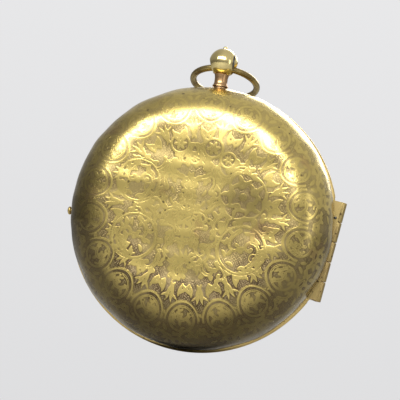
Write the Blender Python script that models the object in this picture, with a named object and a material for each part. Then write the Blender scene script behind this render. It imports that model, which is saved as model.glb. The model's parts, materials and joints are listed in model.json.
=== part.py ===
"""A verge pocket watch in a pair case, standing with its back to -Y and its pendant up.

The watch is modelled as its maker would lay it out, looking at the dial: x runs to three o'clock,
y to twelve o'clock and z from the flat of the back to the glass. One empty turns that layout upright.
Lengths are in metres.
"""

import math

import bmesh
import bpy
from mathutils import Matrix, Vector

# Fineness of the curved forms
SHELL_STEPS = 36
INNER_STEPS = 28
WORK_STEPS = 20
DRUM_STEPS = 24
DISC_STEPS = 28
ARBOR_STEPS = 8
KNUCKLE_STEPS = 12
ARC_STEPS = 4
SMOOTH_LIMIT = math.radians(35)

# Fits
CUT_OVERRUN = 0.0005
REST_GAP = 0.0003
RUNNING_GAP = 0.0001
PIN_FIT = 0.00005
WELD_DISTANCE = 0.000001

# Outer case
PLATEAU_RADIUS = 0.0186
CASE_FLANK = 0.0083
SEAM_HEIGHT = 0.0104
SEAM_GAP = 0.0002
CASE_WALL = 0.0007
BEZEL_FLANK = 0.0035
BEZEL_UPRIGHT = 0.0012
BEZEL_STANDOFF = 0.0011
BEAD_RADIUS = 0.0005
BEAD_PROUD = 0.0001
BEAD_START = math.radians(-60)
BEAD_END = math.radians(80)
RIM_RADIUS = PLATEAU_RADIUS + CASE_FLANK
CASE_BORE = RIM_RADIUS - CASE_WALL
BEZEL_MOUTH_RADIUS = RIM_RADIUS - BEZEL_FLANK
BEZEL_SPRING_HEIGHT = SEAM_HEIGHT + BEZEL_UPRIGHT

# Outer case hinge
HINGE_BEARING = math.radians(187.5)
HINGE_LENGTH = 0.0210
HINGE_KNUCKLES = 5
KNUCKLE_RADIUS = 0.0009
HINGE_PIN_RADIUS = 0.00035
LUG_THICKNESS = 0.0012
LUG_PROUD = 0.0001
LUG_HOLE_RADIUS = 0.0003
LUG_HOLE_PLACE_SHARE = 0.33
KNUCKLE_GAP = 0.00015

# Push button and catch
BUTTON_RADIUS = 0.00085
BUTTON_PROUD = 0.0011
BUTTON_HEAD = 0.0006
BUTTON_STEM_RADIUS = 0.0004
BUTTON_DROP_SHARE = 0.154
BUTTON_BEARING = math.radians(-4)
CATCH_THICKNESS = 0.0003
CATCH_WIDTH = 0.0032
CATCH_RISE = 0.0009
CATCH_DROP_SHARE = 0.19
CATCH_CLEAR = 0.00025
BUTTON_HEIGHT = SEAM_HEIGHT * (1 - BUTTON_DROP_SHARE)

# Inner case
INNER_WALL = 0.0006
INNER_SIDE_GAP = 0.0012
INNER_SEAM = 0.0130
INNER_BEZEL_FLANK = 0.0024
INNER_BEZEL_UPRIGHT = 0.0003
INNER_BEZEL_RISE = 0.0026
GLASS_LIP = 0.0005
GLASS_GROOVE = 0.0006
GLASS_GROOVE_DROP = 0.0003
INNER_BASE = CASE_WALL + REST_GAP
INNER_FLANK = CASE_FLANK - CASE_WALL - INNER_SIDE_GAP
INNER_SPRING_HEIGHT = INNER_SEAM + INNER_BEZEL_UPRIGHT
INNER_BEZEL_TOP = INNER_SPRING_HEIGHT + INNER_BEZEL_RISE
GLASS_GROOVE_TOP = INNER_BEZEL_TOP - GLASS_GROOVE_DROP
BEZEL_RISE = INNER_BEZEL_TOP + BEZEL_STANDOFF - BEZEL_SPRING_HEIGHT
INNER_RADIUS = PLATEAU_RADIUS + INNER_FLANK
INNER_BORE = INNER_RADIUS - INNER_WALL
INNER_MOUTH_RADIUS = INNER_RADIUS - INNER_BEZEL_FLANK
INNER_HINGE_LENGTH = 0.0090
INNER_KNUCKLES = 3
INNER_KNUCKLE_RADIUS = 0.00055
INNER_PIN_RADIUS = 0.0002
INNER_HINGE_INSET = 0.0002
INNER_WEB = 0.0009

# Glass
GLASS_THICKNESS = 0.0006
GLASS_DOME = 0.0046
GLASS_FLANGE = 0.0004

# Pendant and bow
NECK_HEIGHT = 0.0080
NECK_RADIUS = 0.00093
NECK_FLARE = 0.00115
NECK_FOOT_RADIUS = 0.0013
NECK_FOOT = 0.0004
TENON_RADIUS = 0.0006
BALL_RADIUS = 0.00297
BALL_STANDOFF = 0.0055
BALL_NUB_RADIUS = 0.00045
BALL_NUB_RISE = 0.0005
BALL_PLACE = RIM_RADIUS + BALL_STANDOFF
KERF_PLACE = 0.00215
KERF_WIDTH = 0.0003
KERF_DEPTH = 0.0005
BOW_DROP = 0.0011
BOW_MEAN_RADIUS = 0.0067
BOW_WIRE_RADIUS = 0.00078
BOW_FIT = 0.00022
BOW_LEAN = math.radians(-16)
BOW_STEPS = 32
BOW_SIDES = 8
NOTCH_GAP = 0.0005

# Movement frame
TOP_PLATE_INSET = 0.0039
TOP_PLATE_THICKNESS = 0.0009
PILLAR_HEIGHT = 0.0061
PILLAR_PLATE_GAP = 0.0008
PILLAR_PLATE_DROP = 0.0002
PILLAR_PLATE_THICKNESS = 0.0012
PILLAR_RADIUS = 0.0011
PILLAR_WAIST_SHARE = 0.6
PILLAR_COLLAR_SHARE = 1 / 6
PILLAR_PIN_RADIUS = 0.0005
PILLAR_PIN_RISE = 0.0006
PILLAR_EDGE = 0.0017
PILLAR_BEARINGS = [math.radians(angle) for angle in (25, 115, 215, 325)]
TOP_PLATE_RADIUS = INNER_BORE - TOP_PLATE_INSET
PILLAR_PLATE_RADIUS = INNER_BORE - PILLAR_PLATE_GAP
PILLAR_CIRCLE = TOP_PLATE_RADIUS - PILLAR_EDGE
PILLAR_PLATE_FRONT = INNER_SEAM - PILLAR_PLATE_DROP
PILLAR_PLATE_BACK = PILLAR_PLATE_FRONT - PILLAR_PLATE_THICKNESS
TOP_PLATE_FRONT = PILLAR_PLATE_BACK - PILLAR_HEIGHT
TOP_PLATE_BACK = TOP_PLATE_FRONT - TOP_PLATE_THICKNESS

# Toothed wheels: modules, counts of teeth and thicknesses
GREAT_MODULE = 0.00028
CENTRE_MODULE = 0.00026
THIRD_MODULE = 0.00024
CONTRATE_MODULE = 0.00022
MOTION_MODULE = 0.00022
GREAT_TEETH = 48
CENTRE_LEAVES = 12
CENTRE_TEETH = 54
THIRD_LEAVES = 6
THIRD_TEETH = 48
CONTRATE_LEAVES = 6
CONTRATE_TEETH = 48
CROWN_LEAVES = 6
CROWN_TEETH = 13
CANNON_LEAVES = 10
MINUTE_TEETH = 30
MINUTE_LEAVES = 8
HOUR_TEETH = 32
WHEEL_THICKNESS = 0.0004
GREAT_THICKNESS = 0.0005
PINION_OVERHANG = 0.0002
WHEEL_ADDENDUM_SHARE = 0.95
WHEEL_DEDENDUM_SHARE = 1.2
LEAF_ADDENDUM_SHARE = 0.6
LEAF_DEDENDUM_SHARE = 1.35
WHEEL_TOOTH_SHARE = 0.5
LEAF_TOOTH_SHARES = (0.34, 0.14)
CONTRATE_TOOTH_TAPER_SHARE = 0.35
CONTRATE_RIM_SHARE = 1.5
RIM_WIDTH_SHARE = 0.2
HUB_SHARE = 0.24
ARM_WIDTH = 0.0009

# Places of the train, seen from the dial
FUSEE_PLACE = Vector((-0.0073, 0.0042, 0))
THIRD_BEARING = math.radians(20)
CONTRATE_BEARING = math.radians(75)
CONTRATE_ARM_TURN = math.radians(22.5)
BARREL_PLACE = Vector((0.0022, -0.0098, 0))
MINUTE_BEARING = math.radians(200)

# Heights of the train, counted back from the pillar plate
CENTRE_WHEEL_DEPTH = 0.0007
GREAT_WHEEL_DEPTH = 0.0016
THIRD_WHEEL_DEPTH = 0.0034
CONTRATE_WHEEL_DEPTH = 0.0015
ARBOR_RADIUS = 0.0004
PIVOT_RADIUS = 0.0002
PIVOT_LENGTH = 0.0006

# Barrel and fusee
BARREL_RADIUS = 0.0072
BARREL_WALL = 0.0006
BARREL_DEPTH = 0.0044
COVER_THICKNESS = 0.0004
BARREL_ARBOR_RADIUS = 0.0013
SPRING_TURNS = 4
SPRING_THICKNESS = 0.0003
FUSEE_LARGE_RADIUS = 0.0054
FUSEE_SMALL_RADIUS = 0.0030
FUSEE_TURNS = 5
FUSEE_CURVE = 1.4
FUSEE_GROOVE = 0.0003
FUSEE_CLEAR = 0.0004
SQUARE_SIDE = 0.0010
SQUARE_LENGTH = 0.0024
KEY_HOLE_RADIUS = 0.0012
CHAIN_THICKNESS = 0.00035
CHAIN_HEIGHT = 0.0006
CHAIN_WRAP = math.radians(100)

# Escapement
CROWN_RADIUS = 0.0025
CROWN_WALL = 0.0003
CROWN_DEPTH = 0.0011
CROWN_TOOTH_DEPTH = 0.0006
CROWN_TOOTH_LEAN_SHARE = 0.82
CROWN_DISC = 0.0003
CROWN_AXIS_DEPTH = 0.0032
CROWN_FRONT = 0.0008
VERGE_PLACE = Vector((0.0001, 0.0090, 0))
VERGE_RADIUS = 0.00022
PALLET_LENGTH = 0.00055
PALLET_THICKNESS = 0.00015
PALLET_HEIGHT = 0.0005
PALLET_ANGLE = math.radians(100)
BALANCE_RADIUS = 0.0075
BALANCE_RIM = 0.0010
BALANCE_THICKNESS = 0.0004
BALANCE_DROP = 0.0015
BALANCE_ARMS = 3
COCK_RADIUS = 0.0079
COCK_DROP = 0.0026
COCK_THICKNESS = 0.0006
COCK_FOOT_WIDTH = 0.0050
COCK_FOOT_LENGTH = 0.0026
COCK_WINDOWS = 6
COCK_SCREW_RADIUS = 0.0009
COCK_SCREW_HEAD = 0.0002
COCK_HUB_RADIUS = 0.0018
COCK_RING = 0.0012
COCK_ARM = 0.0008
HAIRSPRING_INNER = 0.0011
HAIRSPRING_OUTER = 0.0030
HAIRSPRING_TURNS = 3
HAIRSPRING_WIRE = 0.0001
HAIRSPRING_DROP = 0.00065
STUD_SIDE = 0.0006
POTENCE_ARM = 0.00025
POTENCE_DEPTH = 0.0012
POTENCE_GAP = 0.00013
COUNTER_POTENCE_PLACE = 0.0047
BALANCE_BACK = TOP_PLATE_BACK - BALANCE_DROP
COCK_BACK = TOP_PLATE_BACK - COCK_DROP
HAIRSPRING_HEIGHT = TOP_PLATE_BACK - HAIRSPRING_DROP

# Regulator
REGULATOR_PLACE = Vector((0.0105, -0.0065, 0))
REGULATOR_RADIUS = 0.0030
REGULATOR_THICKNESS = 0.0003
SLIDE_PLATE_THICKNESS = 0.0003
SLIDE_PLATE_WIDTH = 0.0060
SLIDE_PLATE_LENGTH = 0.0100
SLIDE_PLATE_TURN = math.radians(35)

# Motion work, dial and hands
MOTION_GAP = 0.0001
HOUR_WHEEL_LIFT = 0.0006
PIPE_WALL = 0.0003
DIAL_MARGIN = 0.0008
DIAL_FOOT_TURN = math.radians(30)
DIAL_LIFT = 0.0012
DIAL_THICKNESS = 0.0005
DIAL_CROWN = 0.0004
DIAL_HOLE_RADIUS = 0.0016
HAND_THICKNESS = 0.0002
HAND_GAP = 0.0003
HOUR_HAND_LENGTH = 0.0120
MINUTE_HAND_LENGTH = 0.0176
HAND_EYE_RADIUS = 0.0013
HAND_WIDTH = 0.0011
HAND_EYE_OPENING = math.radians(25)
HAND_NECK_SHARE = 0.5
HAND_SWELL_SHARE = 1.6
HAND_PLACE_SHARES = (0.5, 0.62, 0.74)
HAND_BEARINGS = (math.radians(-53), math.radians(58))
DIAL_RADIUS = INNER_MOUTH_RADIUS - DIAL_MARGIN


# Finishes: colour, roughness, metallic
FINISHES = {
    "worn_gilt": ((0.68, 0.47, 0.18), 0.34, 1.0),
    "rose_gilt": ((0.56, 0.34, 0.20), 0.38, 1.0),
    "fire_gilt": ((0.80, 0.58, 0.24), 0.26, 1.0),
    "blued_steel": ((0.04, 0.06, 0.20), 0.22, 1.0),
    "bright_steel": ((0.60, 0.60, 0.60), 0.25, 1.0),
    "silvered": ((0.82, 0.80, 0.76), 0.36, 1.0),
    "white_enamel": ((0.86, 0.85, 0.80), 0.12, 0.0),
    "watch_glass": ((0.92, 0.95, 0.95), 0.03, 0.0),
}


def finish(piece, colouring):
    """Gives a piece a material of its own in one of the watch's finishes."""
    colour, roughness, metallic = FINISHES[colouring]
    surface = bpy.data.materials.new(piece.name)
    surface.use_nodes = True
    shader = surface.node_tree.nodes["Principled BSDF"]
    shader.inputs["Base Color"].default_value = (*colour, 1.0)
    shader.inputs["Roughness"].default_value = roughness
    shader.inputs["Metallic"].default_value = metallic
    if colouring == "watch_glass":
        shader.inputs["Transmission Weight"].default_value = 1.0
    piece.data.materials.clear()
    piece.data.materials.append(surface)
    if piece.type == "MESH":
        smooth(piece.data)


def put(name, data, parent, place=(0, 0, 0), turn=(0, 0, 0)):
    """Adds an object to the scene under its parent."""
    piece = bpy.data.objects.new(name, data)
    bpy.context.scene.collection.objects.link(piece)
    piece.parent = parent
    piece.location = place
    piece.rotation_euler = turn
    return piece


def smooth(mesh):
    """Shades a round mesh smooth but keeps its edges crisp."""
    mesh.shade_smooth()
    mesh.set_sharp_from_angle(angle=SMOOTH_LIMIT)


def mesh_from(name, shape):
    """Turns a bmesh into a mesh with its faces pointing out."""
    bmesh.ops.recalc_face_normals(shape, faces=shape.faces)
    mesh = bpy.data.meshes.new(name)
    shape.to_mesh(mesh)
    shape.free()
    return mesh


def helper(piece):
    """Keeps a cutter or another helper out of the finished watch."""
    piece.hide_render = True
    piece.display_type = "WIRE"
    return piece


def shape_with(piece, tool, operation="DIFFERENCE"):
    """Cuts a tool out of a piece, or joins the tool to it."""
    helper(tool)
    change = piece.modifiers.new(tool.name, "BOOLEAN")
    change.operation = operation
    change.object = tool
    return piece


def on_circle(radius, angle):
    """The flat point at a radius and an angle."""
    return (radius * math.cos(angle), radius * math.sin(angle))


def ring_area(points):
    """Twice the signed area of an outline."""
    pairs = zip(points, points[1:] + points[:1])
    return sum(a[0] * b[1] - b[0] * a[1] for a, b in pairs)


def turned(name, profile, parent, place=(0, 0, 0), turn=(0, 0, 0), steps=SHELL_STEPS):
    """A piece turned on the lathe from (radius, height) points, about its own z axis.

    The outline runs down its outer side. It is left open where both ends lie on the axis.
    """
    points = list(profile)
    if ring_area(points) > 0:
        points.reverse()
    on_axis = [point[0] == 0 for point in points]
    closed = not any(on_axis)
    while not closed and not (on_axis[0] and on_axis[-1]):
        points = points[1:] + points[:1]
        on_axis = on_axis[1:] + on_axis[:1]
    edges = [(i, i + 1) for i in range(len(points) - 1)]
    if closed:
        edges.append((len(points) - 1, 0))
    mesh = bpy.data.meshes.new(name)
    mesh.from_pydata([(r, 0, z) for r, z in points], edges, [])
    piece = put(name, mesh, parent, place, turn)
    screw = piece.modifiers.new("turning", "SCREW")
    screw.steps = screw.render_steps = steps
    screw.use_merge_vertices = True
    screw.merge_threshold = WELD_DISTANCE
    screw.use_smooth_shade = True
    return piece


def drum(name, radius, low, high, parent, place=(0, 0, 0), turn=(0, 0, 0), steps=ARBOR_STEPS):
    """A plain cylinder between two heights on its own z axis."""
    profile = [(0, low), (radius, low), (radius, high), (0, high)]
    return turned(name, profile, parent, place, turn, steps)


def slab(name, outline, low, high, parent, place=(0, 0, 0), turn=(0, 0, 0)):
    """A flat outline given thickness between two heights."""
    shape = bmesh.new()
    corners = [shape.verts.new((x, y, low)) for x, y in outline]
    face = shape.faces.new(corners)
    raised = bmesh.ops.extrude_face_region(shape, geom=[face])["geom"]
    lifted = [item for item in raised if isinstance(item, bmesh.types.BMVert)]
    bmesh.ops.translate(shape, vec=(0, 0, high - low), verts=lifted)
    return put(name, mesh_from(name, shape), parent, place, turn)


def disc(name, radius, low, high, parent, place=(0, 0, 0), steps=WORK_STEPS):
    """A flat round plate."""
    outline = [on_circle(radius, 2 * math.pi * index / steps) for index in range(steps)]
    return slab(name, outline, low, high, parent, place)


def block(name, low, high, parent, place=(0, 0, 0), turn=(0, 0, 0)):
    """A box between two corners."""
    outline = [(low[0], low[1]), (high[0], low[1]), (high[0], high[1]), (low[0], high[1])]
    return slab(name, outline, low[2], high[2], parent, place, turn)


def arc(centre, radius_across, radius_up, start, end, steps):
    """Points along part of an ellipse, both ends counted."""
    turns = [start + (end - start) * i / steps for i in range(steps + 1)]
    return [
        (centre[0] + radius_across * math.cos(a), centre[1] + radius_up * math.sin(a))
        for a in turns
    ]


def empty(name, parent, place=(0, 0, 0), turn=(0, 0, 0)):
    """An empty that carries pieces, on the axis that they turn about."""
    return put(name, None, parent, place, turn)


def quarter(centre, across, up, steps=ARC_STEPS):
    """A quarter ellipse from its side up to its top."""
    return arc(centre, across, up, 0, math.pi / 2, steps)


# Outer case


def hinge_place(radius, height):
    """A place on the bearing of both hinges."""
    x, y = on_circle(radius, HINGE_BEARING)
    return (x, y, height)


HINGE_TURN = (-math.pi / 2, 0, HINGE_BEARING)


def knuckles(name, count, length, chosen, radius, parent, place, widen=0.0):
    """Tools in the form of hinge knuckles: z runs along the bar, middle at the origin."""
    pitch = length / count
    tools = []
    for index in chosen:
        middle = (index - (count - 1) / 2) * pitch
        half = (pitch - KNUCKLE_GAP) / 2 + widen
        tool_name = f"{name}_{index}"
        tools.append(
            drum(tool_name, radius, middle - half, middle + half, parent, place, HINGE_TURN, KNUCKLE_STEPS)
        )
    return tools


def case_section():
    """The outer back in section: flat plateau, round flank and upright edge."""
    flank = (PLATEAU_RADIUS, CASE_FLANK)
    outside = arc(flank, CASE_FLANK, CASE_FLANK, -math.pi / 2, 0, ARC_STEPS + 2)
    inner = CASE_FLANK - CASE_WALL
    inside = arc(flank, inner, inner, 0, -math.pi / 2, ARC_STEPS)
    edge = [(RIM_RADIUS, SEAM_HEIGHT), (CASE_BORE, SEAM_HEIGHT)]
    return [(0, 0), *outside, *edge, *inside, (0, CASE_WALL)]


def lug(name, low, high, parent):
    """The flat that carries the hinge knuckles, between the round edge and the straight bar."""
    half = HINGE_LENGTH / 2 - KNUCKLE_GAP
    seat = RIM_RADIUS - CASE_WALL / 2
    reach = math.asin(half / seat)
    inner = arc((0, 0), seat, seat, -reach, reach, ARC_STEPS)
    edge = RIM_RADIUS + LUG_PROUD
    outline = [(edge, -half), *inner, (edge, half)]
    return slab(name, outline, low, high, parent, turn=(0, 0, HINGE_BEARING))


HINGE_AXIS_HEIGHT = SEAM_HEIGHT + SEAM_GAP / 2


def outer_case_back(dial_side):
    """The engraved back shell, with its lugs, three knuckles, pendant notch and button hole."""
    back = turned("outer_case_back", case_section(), dial_side)
    lug_front = SEAM_HEIGHT - SEAM_GAP / 2
    shape_with(back, lug("back_lug", SEAM_HEIGHT - LUG_THICKNESS, lug_front, dial_side), "UNION")
    place = hinge_place(RIM_RADIUS, HINGE_AXIS_HEIGHT)
    own = knuckles(
        "back_knuckle", HINGE_KNUCKLES, HINGE_LENGTH, (0, 2, 4), KNUCKLE_RADIUS, dial_side, place
    )
    for tool in own:
        shape_with(back, tool, "UNION")
    clear = knuckles(
        "back_clear",
        HINGE_KNUCKLES,
        HINGE_LENGTH,
        (1, 3),
        KNUCKLE_RADIUS + KNUCKLE_GAP,
        dial_side,
        place,
        KNUCKLE_GAP / 2,
    )
    for tool in clear:
        shape_with(back, tool)
    half = HINGE_LENGTH / 2 + CUT_OVERRUN
    bore = drum("back_bore", HINGE_PIN_RADIUS + PIN_FIT, -half, half, dial_side, place, HINGE_TURN)
    shape_with(back, bore)
    hole_x, hole_y = RIM_RADIUS - 2 * KNUCKLE_RADIUS, HINGE_LENGTH * LUG_HOLE_PLACE_SHARE
    hole = drum(
        "lug_hole",
        LUG_HOLE_RADIUS,
        SEAM_HEIGHT - LUG_THICKNESS - CUT_OVERRUN,
        SEAM_HEIGHT - KNUCKLE_RADIUS,
        empty("lug_frame", dial_side, turn=(0, 0, HINGE_BEARING)),
        (hole_x, hole_y, 0),
        steps=ARBOR_STEPS,
    )
    shape_with(back, hole)
    width = NECK_FOOT_RADIUS + NOTCH_GAP
    notch = block(
        "neck_notch",
        (-width, CASE_BORE - CUT_OVERRUN, NECK_HEIGHT),
        (width, RIM_RADIUS + CUT_OVERRUN, SEAM_HEIGHT + CUT_OVERRUN),
        dial_side,
    )
    shape_with(back, notch)
    cradle = drum(
        "neck_cradle",
        width,
        CASE_BORE - CUT_OVERRUN,
        RIM_RADIUS + CUT_OVERRUN,
        dial_side,
        (0, 0, NECK_HEIGHT),
        (-math.pi / 2, 0, 0),
        WORK_STEPS // 2,
    )
    shape_with(back, cradle)
    stem = drum(
        "stem_hole",
        BUTTON_STEM_RADIUS + RUNNING_GAP,
        CASE_BORE - CUT_OVERRUN,
        RIM_RADIUS + CUT_OVERRUN,
        empty("stem_frame", dial_side, turn=(0, 0, BUTTON_BEARING)),
        (0, 0, BUTTON_HEIGHT),
        (0, math.pi / 2, 0),
    )
    shape_with(back, stem)
    finish(back, "worn_gilt")


def outer_case_bezel(pivot, dial_side):
    """The ring over the dial: a bead at the seam and a rounded rise to its mouth."""
    base = SEAM_HEIGHT + SEAM_GAP
    bead = (RIM_RADIUS + BEAD_PROUD, base + BEAD_RADIUS)
    centre = (BEZEL_MOUTH_RADIUS, BEZEL_SPRING_HEIGHT)
    across = RIM_RADIUS - BEZEL_MOUTH_RADIUS
    section = [
        (CASE_BORE, base),
        (RIM_RADIUS, base),
        *arc(bead, BEAD_RADIUS, BEAD_RADIUS, BEAD_START, BEAD_END, ARC_STEPS),
        *quarter(centre, across, BEZEL_RISE)[1:],
        *reversed(quarter(centre, across - CASE_WALL, BEZEL_RISE - CASE_WALL, ARC_STEPS - 1)),
    ]
    bezel = turned("outer_case_bezel", section, dial_side)
    place = hinge_place(RIM_RADIUS, HINGE_AXIS_HEIGHT)
    frame = empty("bezel_trim_frame", dial_side, turn=(0, 0, HINGE_BEARING))
    half = HINGE_LENGTH / 2 + KNUCKLE_GAP
    trim = block(
        "bead_trim",
        (RIM_RADIUS + LUG_PROUD / 2, -half, SEAM_HEIGHT - CUT_OVERRUN),
        (RIM_RADIUS + 2 * KNUCKLE_RADIUS, half, base + 3 * BEAD_RADIUS),
        frame,
    )
    shape_with(bezel, trim)
    shape_with(bezel, lug("bezel_lug", base + SEAM_GAP / 2, base + LUG_THICKNESS, dial_side), "UNION")
    own = knuckles(
        "bezel_knuckle", HINGE_KNUCKLES, HINGE_LENGTH, (1, 3), KNUCKLE_RADIUS, dial_side, place
    )
    for tool in own:
        shape_with(bezel, tool, "UNION")
    clear = knuckles(
        "bezel_clear",
        HINGE_KNUCKLES,
        HINGE_LENGTH,
        (0, 2, 4),
        KNUCKLE_RADIUS + KNUCKLE_GAP,
        dial_side,
        place,
        KNUCKLE_GAP / 2,
    )
    for tool in clear:
        shape_with(bezel, tool)
    bore = drum("bezel_bore", HINGE_PIN_RADIUS + PIN_FIT, -half, half, dial_side, place, HINGE_TURN)
    shape_with(bezel, bore)
    finish(bezel, "worn_gilt")
    carry(bezel, pivot, dial_side)


def carry(piece, pivot, dial_side):
    """Hangs a piece laid out about the watch's centre on a pivot, without moving it."""
    piece.parent = pivot
    bpy.context.view_layer.update()
    piece.matrix_parent_inverse = pivot.matrix_world.inverted() @ dial_side.matrix_world


def hinge_pin(name, length, radius, place, parent):
    """A straight hinge pin."""
    pin = drum(name, radius, -length / 2, length / 2, parent, place, HINGE_TURN)
    finish(pin, "rose_gilt")


def push_button(dial_side):
    """The button and its stem, with the spring catch behind the wall."""
    button_side = empty("button_side", dial_side, turn=(0, 0, BUTTON_BEARING))
    shoulder = BUTTON_PROUD - BUTTON_HEAD
    stem_end = CASE_BORE - RIM_RADIUS
    dome = arc((0, shoulder), BUTTON_RADIUS, BUTTON_HEAD, 0, math.pi / 2, 4)
    profile = [(0, stem_end), (BUTTON_STEM_RADIUS, stem_end), (BUTTON_STEM_RADIUS, shoulder)]
    dome[-1] = (0, BUTTON_PROUD)
    button = turned(
        "push_button",
        [*profile, *dome],
        button_side,
        (RIM_RADIUS, 0, BUTTON_HEIGHT),
        (0, math.pi / 2, 0),
        KNUCKLE_STEPS,
    )
    finish(button, "worn_gilt")
    outside = CASE_BORE - CATCH_CLEAR
    half = math.asin(CATCH_WIDTH / (2 * outside))
    inner = outside - CATCH_THICKNESS
    outline = [
        *arc((0, 0), outside, outside, -half, half, 4),
        *arc((0, 0), inner, inner, half, -half, 4),
    ]
    low, high = SEAM_HEIGHT * (1 - CATCH_DROP_SHARE), SEAM_HEIGHT + CATCH_RISE
    catch = slab("case_catch", outline, low, high, button_side)
    finish(catch, "bright_steel")


# Inner case


def inner_case_section():
    """The plain inner shell in section."""
    flank = (PLATEAU_RADIUS, INNER_BASE + INNER_FLANK)
    inner = INNER_FLANK - INNER_WALL
    return [
        (0, INNER_BASE),
        *arc(flank, INNER_FLANK, INNER_FLANK, -math.pi / 2, 0, ARC_STEPS),
        (INNER_RADIUS, INNER_SEAM),
        (INNER_BORE, INNER_SEAM),
        *arc(flank, inner, inner, 0, -math.pi / 2, ARC_STEPS),
        (0, INNER_BASE + INNER_WALL),
    ]


INNER_HINGE_RADIUS = INNER_RADIUS - INNER_HINGE_INSET
INNER_HINGE_HEIGHT = INNER_SEAM + SEAM_GAP / 2


def inner_case_body(dial_side):
    """The inner shell, with its key hole, pendant hole and two hinge knuckles."""
    body = turned("inner_case_body", inner_case_section(), dial_side, steps=INNER_STEPS)
    place = hinge_place(INNER_HINGE_RADIUS, INNER_HINGE_HEIGHT)
    tools = knuckles(
        "body_knuckle",
        INNER_KNUCKLES,
        INNER_HINGE_LENGTH,
        (0, 2),
        INNER_KNUCKLE_RADIUS,
        dial_side,
        place,
    )
    for tool in tools:
        shape_with(body, tool, "UNION")
    clear = knuckles(
        "body_clear",
        INNER_KNUCKLES,
        INNER_HINGE_LENGTH,
        (1,),
        INNER_KNUCKLE_RADIUS + KNUCKLE_GAP,
        dial_side,
        place,
        KNUCKLE_GAP / 2,
    )
    shape_with(body, clear[0])
    half = INNER_HINGE_LENGTH / 2 + CUT_OVERRUN
    bore = drum("body_bore", INNER_PIN_RADIUS + PIN_FIT, -half, half, dial_side, place, HINGE_TURN)
    shape_with(body, bore)
    key_hole = drum(
        "key_hole",
        KEY_HOLE_RADIUS,
        INNER_BASE - CUT_OVERRUN,
        INNER_BASE + INNER_WALL + CUT_OVERRUN,
        dial_side,
        FUSEE_PLACE,
        steps=WORK_STEPS // 2,
    )
    shape_with(body, key_hole)
    tenon = drum(
        "tenon_hole",
        TENON_RADIUS + PIN_FIT,
        INNER_BORE - CUT_OVERRUN,
        INNER_RADIUS + CUT_OVERRUN,
        dial_side,
        (0, 0, NECK_HEIGHT),
        (-math.pi / 2, 0, 0),
    )
    shape_with(body, tenon)
    finish(body, "fire_gilt")


def inner_bezel_section():
    """The bezel of the inner case, with the groove that holds the glass."""
    base = INNER_SEAM + SEAM_GAP
    centre = (INNER_MOUTH_RADIUS, INNER_SPRING_HEIGHT)
    across = INNER_RADIUS - INNER_MOUTH_RADIUS
    lip = INNER_MOUTH_RADIUS - GLASS_LIP
    groove_low = GLASS_GROOVE_TOP - GLASS_GROOVE
    lip_low = groove_low - GLASS_GROOVE_DROP
    rise = lip_low - INNER_SPRING_HEIGHT
    return [
        (INNER_RADIUS, base),
        *quarter(centre, across, INNER_BEZEL_RISE, ARC_STEPS - 1),
        (lip, INNER_BEZEL_TOP),
        (lip, GLASS_GROOVE_TOP),
        (INNER_MOUTH_RADIUS, GLASS_GROOVE_TOP),
        (INNER_MOUTH_RADIUS, groove_low),
        (lip, groove_low),
        (lip, lip_low),
        *reversed(quarter(centre, across - INNER_WALL, rise, ARC_STEPS - 2)),
        (INNER_BORE, base),
    ]


def inner_case_bezel(pivot, dial_side):
    """The inner bezel with one knuckle on a short web, and its domed glass."""
    bezel = turned("inner_case_bezel", inner_bezel_section(), dial_side, steps=INNER_STEPS)
    place = hinge_place(INNER_HINGE_RADIUS, INNER_HINGE_HEIGHT)
    half = INNER_HINGE_LENGTH / 2 + KNUCKLE_GAP
    clear = drum(
        "inner_bezel_clear",
        INNER_KNUCKLE_RADIUS + KNUCKLE_GAP,
        -half,
        half,
        dial_side,
        place,
        HINGE_TURN,
        KNUCKLE_STEPS,
    )
    shape_with(bezel, clear)
    width = (INNER_HINGE_LENGTH / INNER_KNUCKLES - KNUCKLE_GAP) / 2
    web = block(
        "inner_bezel_web",
        (INNER_BORE, -width, INNER_SEAM + SEAM_GAP),
        (INNER_HINGE_RADIUS, width, INNER_SEAM + SEAM_GAP + INNER_WEB),
        empty("inner_web_frame", dial_side, turn=(0, 0, HINGE_BEARING)),
    )
    shape_with(bezel, web, "UNION")
    own = knuckles(
        "inner_bezel_knuckle",
        INNER_KNUCKLES,
        INNER_HINGE_LENGTH,
        (1,),
        INNER_KNUCKLE_RADIUS,
        dial_side,
        place,
    )
    shape_with(bezel, own[0], "UNION")
    bore = drum(
        "inner_bezel_bore", INNER_PIN_RADIUS + PIN_FIT, -half, half, dial_side, place, HINGE_TURN
    )
    shape_with(bezel, bore)
    finish(bezel, "fire_gilt")
    carry(bezel, pivot, dial_side)

    base = GLASS_GROOVE_TOP - GLASS_GROOVE + RUNNING_GAP
    flange = base + GLASS_FLANGE
    rim = INNER_MOUTH_RADIUS - GLASS_LIP - 2 * RUNNING_GAP
    outside = quarter((0, flange), rim, GLASS_DOME)
    inner_rim = rim - GLASS_THICKNESS
    inside = quarter((0, base), inner_rim, GLASS_DOME + GLASS_FLANGE - GLASS_THICKNESS)
    outside[-1] = (0, outside[-1][1])
    inside[-1] = (0, inside[-1][1])
    edge = INNER_MOUTH_RADIUS - 2 * RUNNING_GAP
    glass = turned(
        "crystal",
        [(edge, base), (edge, flange), *outside, *reversed(inside)],
        dial_side,
        steps=INNER_STEPS,
    )
    finish(glass, "watch_glass")
    carry(glass, pivot, dial_side)


# Pendant and bow


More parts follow.
